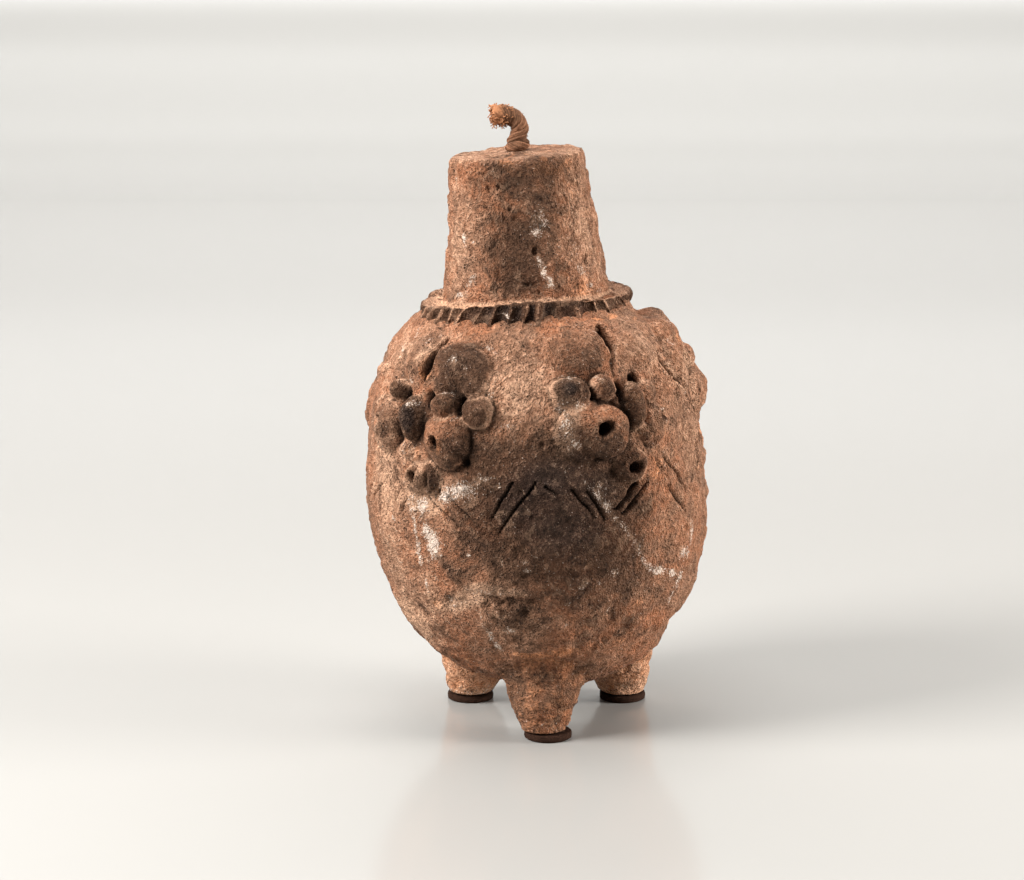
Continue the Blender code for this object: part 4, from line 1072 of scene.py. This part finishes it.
def tubes(centres, radii, sides):
    """Round tubes along many paths at once: rings across each path, closed at both ends.

    centres is paths x steps x 3 and radii is paths x steps. A ring's corners are the centre plus
    radius times (side cos + up sin), with side and up square to the path."""
    along = np.gradient(centres, axis=1)
    along /= np.linalg.norm(along, axis=-1, keepdims=True)
    side = np.cross(along, np.array([0.13, 0.97, 0.21]))
    side /= np.linalg.norm(side, axis=-1, keepdims=True)
    up = np.cross(along, side)
    turn = np.linspace(0, 2 * math.pi, sides + 1)[:-1]
    corners = centres[:, :, None] + radii[..., None, None] * (
        side[:, :, None] * np.cos(turn)[:, None] + up[:, :, None] * np.sin(turn)[:, None])
    paths, steps = centres.shape[:2]
    index = np.arange(paths * steps * sides).reshape(paths, steps, sides)
    beside = np.roll(index, -1, axis=2)
    faces = np.stack([index[:, :-1], beside[:, :-1], beside[:, 1:], index[:, 1:]], -1)
    faces = faces.reshape(-1, 4).tolist()
    faces += index[:, 0, ::-1].tolist() + index[:, -1].tolist()
    return corners.reshape(-1, 3), faces


def framed(route):
    """The path of a cord with its directions: along it, to its side and up from it."""
    base = np.append(place(np.array(0.0), 0.0, np.array(CROWN))[:2], CROWN)
    centre, swell = route[:, :3] + base, route[:, 3]
    along = np.gradient(centre, axis=0)
    along /= np.linalg.norm(along, axis=1, keepdims=True)
    side = np.cross(along, np.array([0.1, 1.0, 0.1]))
    side /= np.linalg.norm(side, axis=1, keepdims=True)
    return centre, swell, along, side, np.cross(along, side)


def yarns(route, turns, seed):
    """Two rings of yarns twisted round a path: tubes, a shade for each and the way along it."""
    centre, swell, _, side, up = framed(route)
    share = np.linspace(0, 1, len(centre))
    number = np.arange(OUTER_YARNS + INNER_YARNS)
    outer = number < OUTER_YARNS
    ring = np.where(outer, 0.86, 0.45)
    start = np.where(outer, number / OUTER_YARNS, (number - OUTER_YARNS) / INNER_YARNS)
    chance = chances(number, 1, seed)[0]
    turn = (start * 2 * math.pi)[:, None] + turns * 2 * math.pi * share + 0.12 * chance[:, None]
    wander = 1 + 0.09 * np.sin(14 * share + 5 * chance[:, None])
    reach = WICK_RADIUS * ring[:, None] * swell * wander
    out = side * np.cos(turn)[..., None] + up * np.sin(turn)[..., None]
    paths = centre + reach[..., None] * out
    thick = WICK_RADIUS * 0.16 * swell * (1 + 0.14 * np.sin(60 * share + 9 * chance[:, None]))
    places, faces = tubes(paths, np.broadcast_to(thick, paths.shape[:2]), YARN_SIDES)
    shade = np.repeat(0.5 + 0.5 * chance, len(centre) * YARN_SIDES)
    return places, faces, shade, np.tile(np.repeat(share, YARN_SIDES), len(number))


def tuft(route):
    """Short thick threads that leave the cord near its end and curl outwards like a brush."""
    centre, _, along, side, up = framed(route)
    chance = chances(np.arange(TUFT_THREADS), 7, 81)
    place_share = 1 - 0.17 * np.abs(chance[0]) ** 1.3
    spot = (place_share * (len(centre) - 1)).round().astype(int)
    angle = math.pi * chance[1]
    out = side[spot] * np.cos(angle)[:, None] + up[spot] * np.sin(angle)[:, None]
    depth = np.sqrt(np.abs(chance[2]))
    start = centre[spot] + WICK_RADIUS * 0.9 * depth[:, None] * out
    ahead = along[spot] * soft_step(0.92, 1.0, place_share)[:, None]
    way = ahead * 0.6 + out * (0.2 + 0.4 * depth)[:, None] + 0.3 * np.stack(chance[3:6], -1)
    step = np.linspace(0, 1, TUFT_STEPS)[None, :, None]
    length = (0.9 + 0.5 * np.abs(chance[4]))[:, None, None]
    curl = np.stack([np.sin(5 * step[..., 0] + 4 * chance[3][:, None]),
                     np.cos(5 * step[..., 0] + 4 * chance[5][:, None]),
                     np.sin(5 * step[..., 0] + 3 * chance[1][:, None]) - step[..., 0]], -1)
    paths = start[:, None] + way[:, None] * length * step + 0.75 * step * curl
    radii = np.broadcast_to(0.19 * (1 - 0.35 * step[..., 0] ** 3), paths.shape[:2])
    places, faces = tubes(paths, radii, 5)
    shade = np.repeat(0.5 + 0.5 * chance[6], TUFT_STEPS * 5)
    return places, faces, shade, np.tile(np.repeat(0.88 + 0.12 * step[0, :, 0], 5), TUFT_THREADS)


def hairs(route):
    """Fine loose fibres that stand off the cord, bent along it or round it."""
    centre, swell, along, side, up = framed(route)
    chance = chances(np.arange(HAIRS), 5, 131)
    spot = ((0.42 + 0.55 * (0.5 + 0.5 * chance[0])) * (len(centre) - 1)).round().astype(int)
    angle = math.pi * chance[1]
    out = side[spot] * np.cos(angle)[:, None] + up[spot] * np.sin(angle)[:, None]
    start = centre[spot] + (WICK_RADIUS * 0.9 * swell[spot])[:, None] * out
    step = np.linspace(0, 1, HAIR_STEPS)[None, :, None]
    round_about = np.cross(along[spot], out)
    bend = along[spot] * chance[2][:, None] + round_about * chance[3][:, None]
    paths = start[:, None] + 0.55 * step * out[:, None] + 0.8 * step ** 2 * bend[:, None]
    radii = np.broadcast_to(0.07 * (1 - 0.6 * step[..., 0]), paths.shape[:2])
    places, faces = tubes(paths, radii, 3)
    shade = np.repeat(0.6 + 0.4 * chance[4], HAIR_STEPS * 3)
    return places, faces, shade, np.full(len(places), 0.5)


def make_wick():
    """Cord, loop, tuft and hairs as one mesh."""
    route, loop = smooth_route(WICK_ROUTE, YARN_STEPS), smooth_route(loop_route(), LOOP_STEPS)
    parts = (yarns(route, YARN_TURNS, 71), yarns(loop, LOOP_YARN_TURNS, 73), tuft(route),
             hairs(route))
    places, part_faces, shades, shares = zip(*parts)
    shifts = np.cumsum([0] + [len(part) for part in places]).tolist()
    faces = [tuple(corner + shift for corner in face)
             for shift, part in zip(shifts, part_faces) for face in part]
    mesh = bpy.data.meshes.new("wick_cord")
    mesh.from_pydata(in_metres(np.concatenate(places)).tolist(), [], faces)
    for label, column in (("yarn", shades), ("along", shares)):
        layer = mesh.attributes.new(label, "FLOAT", "POINT")
        layer.data.foreach_set("value", np.concatenate(column).astype(np.float32))
    mesh.shade_smooth()
    piece = bpy.data.objects.new("wick_cord", mesh)
    bpy.context.scene.collection.objects.link(piece)
    return piece


wick = make_wick()
print("wick:", count_triangles(wick), "triangles")

# %% [markdown]
# The felt pads are discs punched from thick felt. Their edge bulges a little under the weight
# and is rough with fibres.

# %% The felt pads
PAD_COLUMNS, PAD_ROWS = 96, 30
# radius and height at each corner of the outline
PAD_OUTLINE = np.array(((0.4, 0), (6.9, 0), (7.35, 0.35), (7.42, 1.2), (7.3, 1.95), (6.9, 2.24),
                        (0.4, 2.26)))


def make_pad(label, degrees):
    """A disc whose outline is rounded at both edges, with fuzzy noise."""
    angle = math.radians(degrees)
    middle = np.array([FEET_CIRCLE * math.sin(angle), -FEET_CIRCLE * math.cos(angle), 0])
    length = lengths(PAD_OUTLINE)
    steps = np.linspace(0, length[-1], PAD_ROWS)
    radius, height = (np.interp(steps, length, column)[:, None] for column in PAD_OUTLINE.T)
    turn = np.linspace(-math.pi, math.pi, PAD_COLUMNS + 1)[:-1][None, :]
    points = np.stack([radius * np.sin(turn), -radius * np.cos(turn), height + 0 * turn], -1)
    points += middle
    fuzz = 0.07 * rough(points, 0.9, 91, 2) * soft_step(0, 0.5, height)
    points = points + outward(points) * (fuzz - 0.05)[..., None]
    points[..., 2] = np.clip(points[..., 2], 0, PAD_TOP)
    return shell(f"felt_{label}", points)


pads = [make_pad(label, degrees) for label, degrees, _ in FEET]
print("pads:", [count_triangles(pad) for pad in pads], "triangles")

# %% [markdown]
# A material is a sum written out. The class below wraps an output of a shader node, so that
# wires can be added and multiplied like numbers, and each sum adds its Math node.

# %% Wires
class Wire:
    """An output of a shader node that takes part in sums."""

    def __init__(self, tree, socket):
        self.tree, self.socket = tree, socket

    def maths(self, operation, *values):
        """A Math node that joins this wire with numbers or other wires."""
        return add_node(self.tree, "ShaderNodeMath", {"operation": operation},
                        dict(enumerate((self, *values))))

    def __add__(self, other):
        return self.maths("ADD", other)

    def __radd__(self, other):
        return self.maths("ADD", other)

    def __sub__(self, other):
        return self.maths("SUBTRACT", other)

    def __rsub__(self, other):
        return self.maths("MULTIPLY", -1.0).maths("ADD", other)

    def __mul__(self, other):
        return self.maths("MULTIPLY", other)

    def __rmul__(self, other):
        return self.maths("MULTIPLY", other)

    def __abs__(self):
        return self.maths("ABSOLUTE")

    def step(self, low, high):
        """0 below low and 1 above high, smooth between."""
        return add_node(self.tree, "ShaderNodeMapRange", {"interpolation_type": "SMOOTHSTEP"},
                        {"Value": self, "From Min": low, "From Max": high})


def add_node(tree, kind, settings=None, values=None, output=0):
    """A node with its settings made and its sockets filled by values or wires; gives an output."""
    node = tree.nodes.new(kind)
    for label, value in (settings or {}).items():
        setattr(node, label, value)
    for label, value in (values or {}).items():
        if isinstance(value, Wire):
            tree.links.new(value.socket, node.inputs[label])
        else:
            node.inputs[label].default_value = value
    return Wire(tree, node.outputs[output])


def mixed(tree, share, first, second, blend="MIX"):
    """Two colours mixed by a share, each a wire or red, green and blue."""
    first, second = (value if isinstance(value, Wire) else (*value, 1.0)
                     for value in (first, second))
    return add_node(tree, "ShaderNodeMix", {"data_type": "RGBA", "blend_type": blend},
                    {0: share, 6: first, 7: second}, output=2)


def grain(tree, size, detail=3.0, stretch=None, warp=0.0):
    """Noise on the piece's own coordinates, about -1 to 1, features of about a size in mm."""
    coordinates = add_node(tree, "ShaderNodeTexCoord", output=3)
    if stretch:
        coordinates = add_node(tree, "ShaderNodeVectorMath", {"operation": "MULTIPLY"},
                               {0: coordinates, 1: stretch})
    noisy = add_node(tree, "ShaderNodeTexNoise", None,
                     {"Vector": coordinates, "Scale": 1 / (size * MM), "Detail": detail,
                      "Roughness": 0.6, "Distortion": warp})
    return (noisy - 0.5) * 4


def specks(tree, size, shift, grown):
    """Scattered grains of about a size in mm: 1 inside, 0 outside, larger where grown is high."""
    coordinates = add_node(tree, "ShaderNodeTexCoord", output=3)
    moved = add_node(tree, "ShaderNodeVectorMath", {"operation": "ADD"},
                     {0: coordinates, 1: (shift, shift, 0)})
    away = add_node(tree, "ShaderNodeTexVoronoi", None,
                    {"Vector": moved, "Scale": 1 / (size * MM)})
    return 1 - (away - grown).step(0.16, 0.34)


def value_of(tree, label):
    """A value kept at the points of the mesh."""
    return add_node(tree, "ShaderNodeAttribute", {"attribute_name": label}, output=2)


def bumps(tree, height, strength, distance):
    """A normal tilted by a height, at a strength and over a distance in metres."""
    return add_node(tree, "ShaderNodeBump", None,
                    {"Height": height, "Strength": strength, "Distance": distance})


def new_material(name):
    """An empty Principled material, its node tree and its shader."""
    material = bpy.data.materials.new(name)
    material.use_nodes = True
    return material, material.node_tree, material.node_tree.nodes["Principled BSDF"]


def fill(tree, shader, **values):
    """Puts values and wires into the shader's sockets."""
    for label, value in values.items():
        socket = shader.inputs[label.replace("_", " ")]
        if isinstance(value, Wire):
            tree.links.new(value.socket, socket)
        else:
            socket.default_value = value


# %% [markdown]
# The clay's colour is built up in layers: fired brown with redder and greyer clouds, worn to
# orange, darkened by soot, dirt in every pit and crack, dirt and painted shade in every hollow and
# cut, then a crust of lime. Painted light lies on the crown's top, the lump rims and two of the
# feet, and painted shade in some hollows, the collar's notches, a hole and the slit. The finest
# grain also feeds the roughness, and grain, pits, flakes and cracks feed a bump, on top of the
# relief that is in the mesh.

# %% Clay
BROWN, RED_BROWN, GREY_BROWN = (0.255, 0.130, 0.078), (0.300, 0.122, 0.062), (0.205, 0.112, 0.071)
# on this line: orange wear that is also painted light on one foot, pale dust that is also painted
# light on the crown's top, rims and two feet, and soot that is also painted shade
WORN_AND_LIT, DUST_AND_LIGHT, SOOT_AND_SHADE_COLOUR = (0.540, 0.228, 0.108), (0.505, 0.305, 0.200), (0.048, 0.025, 0.015)
CRUST, GRIT = (0.800, 0.670, 0.580), (0.520, 0.325, 0.215)
# near black for dirt in pits, gaps and cracks and for dirt and painted shade in hollows and cuts;
# near black too for char and the strongest painted shade
DIRT_AND_SHADE, CHAR_AND_SHADE = (0.018, 0.009, 0.005), (0.020, 0.013, 0.011)
SHADED, LIT = (0.60, 0.58, 0.56), (1.40, 1.40, 1.40)


def clay_material():
    """Layers of colour mixed by patch values whose edges are broken up by noise."""
    material, tree, shader = new_material("weathered clay")
    cloud, blotch = grain(tree, 18, 3, warp=0.3), grain(tree, 7.0, 4, warp=0.6)
    patch, fine, tiny = grain(tree, 2.6, 3, warp=0.4), grain(tree, 1.0, 2), grain(tree, 0.42, 1)
    soot_and_shade, pale, orange = (value_of(tree, label) for label in ("soot_and_shade", "pale", "orange"))
    lime, hollow, ridge = (value_of(tree, label) for label in ("lime", "hollow", "ridge"))
    pit = specks(tree, 0.85, 0.0, patch * 0.10)
    gap = specks(tree, 2.1, 0.3, blotch * 0.16 - 0.16)
    grit = specks(tree, 0.62, 0.5, patch * 0.12 + pale * 0.08 - 0.03)
    seam = grain(tree, 4.6, 3, warp=0.8)
    crack = (1 - abs(seam).step(0.0, 0.10)) * blotch.step(0.0, 0.6)
    flake = seam.step(0.22, 0.34) * cloud.step(-0.2, 0.4)
    colour = mixed(tree, cloud.step(-0.5, 0.5), BROWN, RED_BROWN)
    colour = mixed(tree, blotch.step(-0.5, 0.7) * 0.7, colour, GREY_BROWN)
    # wear, and on the right foot painted light
    worn = orange * 0.85 + ridge * 0.50 + patch * 0.34 + seam * 0.22 + fine * 0.08
    colour = mixed(tree, worn.step(0.45, 0.95) * 0.85, colour, WORN_AND_LIT)
    # pale dust and wear, and painted light on the crown's top, the lump rims and two of the feet
    dust_and_light = pale * 0.85 + ridge * 0.30 - blotch * 0.30 + patch * 0.20 + fine * 0.15
    colour = mixed(tree, dust_and_light.step(0.25, 1.05) * 0.80, colour, DUST_AND_LIGHT)
    # soot, and painted shade in some hollows, a hole, the slit and the collar's notches
    soot_and_shade_share = (soot_and_shade * 0.80 + blotch * 0.28 + seam * 0.14 + patch * 0.12).step(0.20, 0.92)
    colour = mixed(tree, soot_and_shade_share * 0.86, colour, SOOT_AND_SHADE_COLOUR)
    # char on the nose, and the strongest painted shade in hollows, a hole, the slit and the notches
    colour = mixed(tree, soot_and_shade.step(1.5, 2.2) * 0.85, colour, CHAR_AND_SHADE)
    mottle = mixed(tree, (patch * 0.50 + fine * 0.46 + tiny * 0.36).step(-0.8, 0.8), SHADED, LIT)
    colour = mixed(tree, 1.0, colour, mottle, "MULTIPLY")
    dust = (fine * 0.48 + tiny * 0.42 + patch * 0.60).step(0.15, 1.0)
    colour = mixed(tree, dust * (0.30 - soot_and_shade_share * 0.12), colour, GRIT)
    colour = mixed(tree, grit * (0.42 - soot_and_shade_share * 0.32), colour, GRIT)
    colour = mixed(tree, pit * 0.55, colour, DIRT_AND_SHADE)
    colour = mixed(tree, gap * 0.70, colour, DIRT_AND_SHADE)
    colour = mixed(tree, flake * 0.14, colour, GRIT)
    colour = mixed(tree, crack * 0.55, colour, DIRT_AND_SHADE)
    # painted shade and dirt: hollows and cut lines darkened towards near black
    colour = mixed(tree, (hollow * 0.7 + fine * 0.1 - 0.2).step(0.10, 1.0) * 0.88, colour, DIRT_AND_SHADE)
    haze = (lime * 0.8 + patch * 0.3).step(0.1, 1.1)
    colour = mixed(tree, haze * 0.45, colour, GRIT)
    crust = (lime * 0.95 + fine * 0.55 + tiny * 0.65 - 0.50).step(0.10, 0.80)
    colour = mixed(tree, crust * 0.75, colour, CRUST)
    height = fine * 0.30 + tiny * 0.15 + patch * 0.26 - pit * 0.35 - gap * 0.6 + grit * 0.15
    height = height + crust * 0.15 + flake * 0.35 - crack * 0.45
    bump = bumps(tree, height, 1.0, 0.0014)
    fill(tree, shader, Base_Color=colour, Roughness=0.95 - tiny * 0.03, Normal=bump)
    shader.inputs["Specular IOR Level"].default_value = 0.12
    return material


# %% [markdown]
# Cotton soaked in oil is brown, each yarn in a shade of its own, and almost orange at the fresh
# cut end. Felt is nearly black and swallows light, and its fibres show only as a faint mottle.

# %% Cotton and felt
COTTON_DARK, COTTON_LIGHT = (0.065, 0.032, 0.018), (0.260, 0.125, 0.070)
COTTON_TIP = (0.430, 0.190, 0.090)
FELT_DARK, FELT_LIGHT = (0.012, 0.006, 0.004), (0.060, 0.030, 0.020)


def cotton_material():
    """Each yarn has its own shade, and the last part of the cord turns paler."""
    material, tree, shader = new_material("oiled cotton")
    yarn, along = value_of(tree, "yarn"), value_of(tree, "along")
    fibre = grain(tree, 0.35, 3, stretch=(1.0, 1.0, 0.4))
    blotch = grain(tree, 2.4, 3)
    shade = (yarn * 0.45 + fibre * 0.18 + blotch * 0.13 + 0.25).step(0.1, 0.9)
    colour = mixed(tree, shade, COTTON_DARK, COTTON_LIGHT)
    tip = (along + blotch * 0.03 + fibre * 0.02).step(0.86, 0.99)
    colour = mixed(tree, tip * (yarn * 0.5 + 0.4), colour, COTTON_TIP)
    fill(tree, shader, Base_Color=colour, Roughness=0.92, Normal=bumps(tree, fibre, 0.6, 0.00005))
    shader.inputs["Specular IOR Level"].default_value = 0.1
    return material


def felt_material():
    """Nearly black, mottled by its fibres."""
    material, tree, shader = new_material("black felt")
    fibre = grain(tree, 0.4, 4, warp=1.5)
    colour = mixed(tree, fibre.step(-0.6, 1.0), FELT_DARK, FELT_LIGHT)
    fill(tree, shader, Base_Color=colour, Roughness=0.96, Normal=bumps(tree, fibre, 0.8, 0.00008))
    shader.inputs["Specular IOR Level"].default_value = 0.05
    return material


def floor_material():
    """Pale and slightly glossy, so that the feet show a faint reflection."""
    material, tree, shader = new_material("pale floor")
    fill(tree, shader, Base_Color=(0.295, 0.291, 0.281, 1.0), Roughness=0.16)
    shader.inputs["Specular IOR Level"].default_value = 0.45
    return material


# %% [markdown]
# Last, each piece gets its material, hides the solid it stands for, and rides on the lamp's
# one body.

# %% Putting the lamp together
clay, cotton, felt = clay_material(), cotton_material(), felt_material()
floor.data.materials.append(floor_material())


def settle(piece, material, node):
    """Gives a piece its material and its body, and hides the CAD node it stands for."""
    piece.data.materials.append(material)
    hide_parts(node)
    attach(piece, "root")


for piece in (*bodies, neck, *feet):
    settle(piece, clay, "jar")
settle(wick, cotton, "wick")
for (label, _, _), pad in zip(FEET, pads):
    settle(pad, felt, f"felt_pad_{label}")
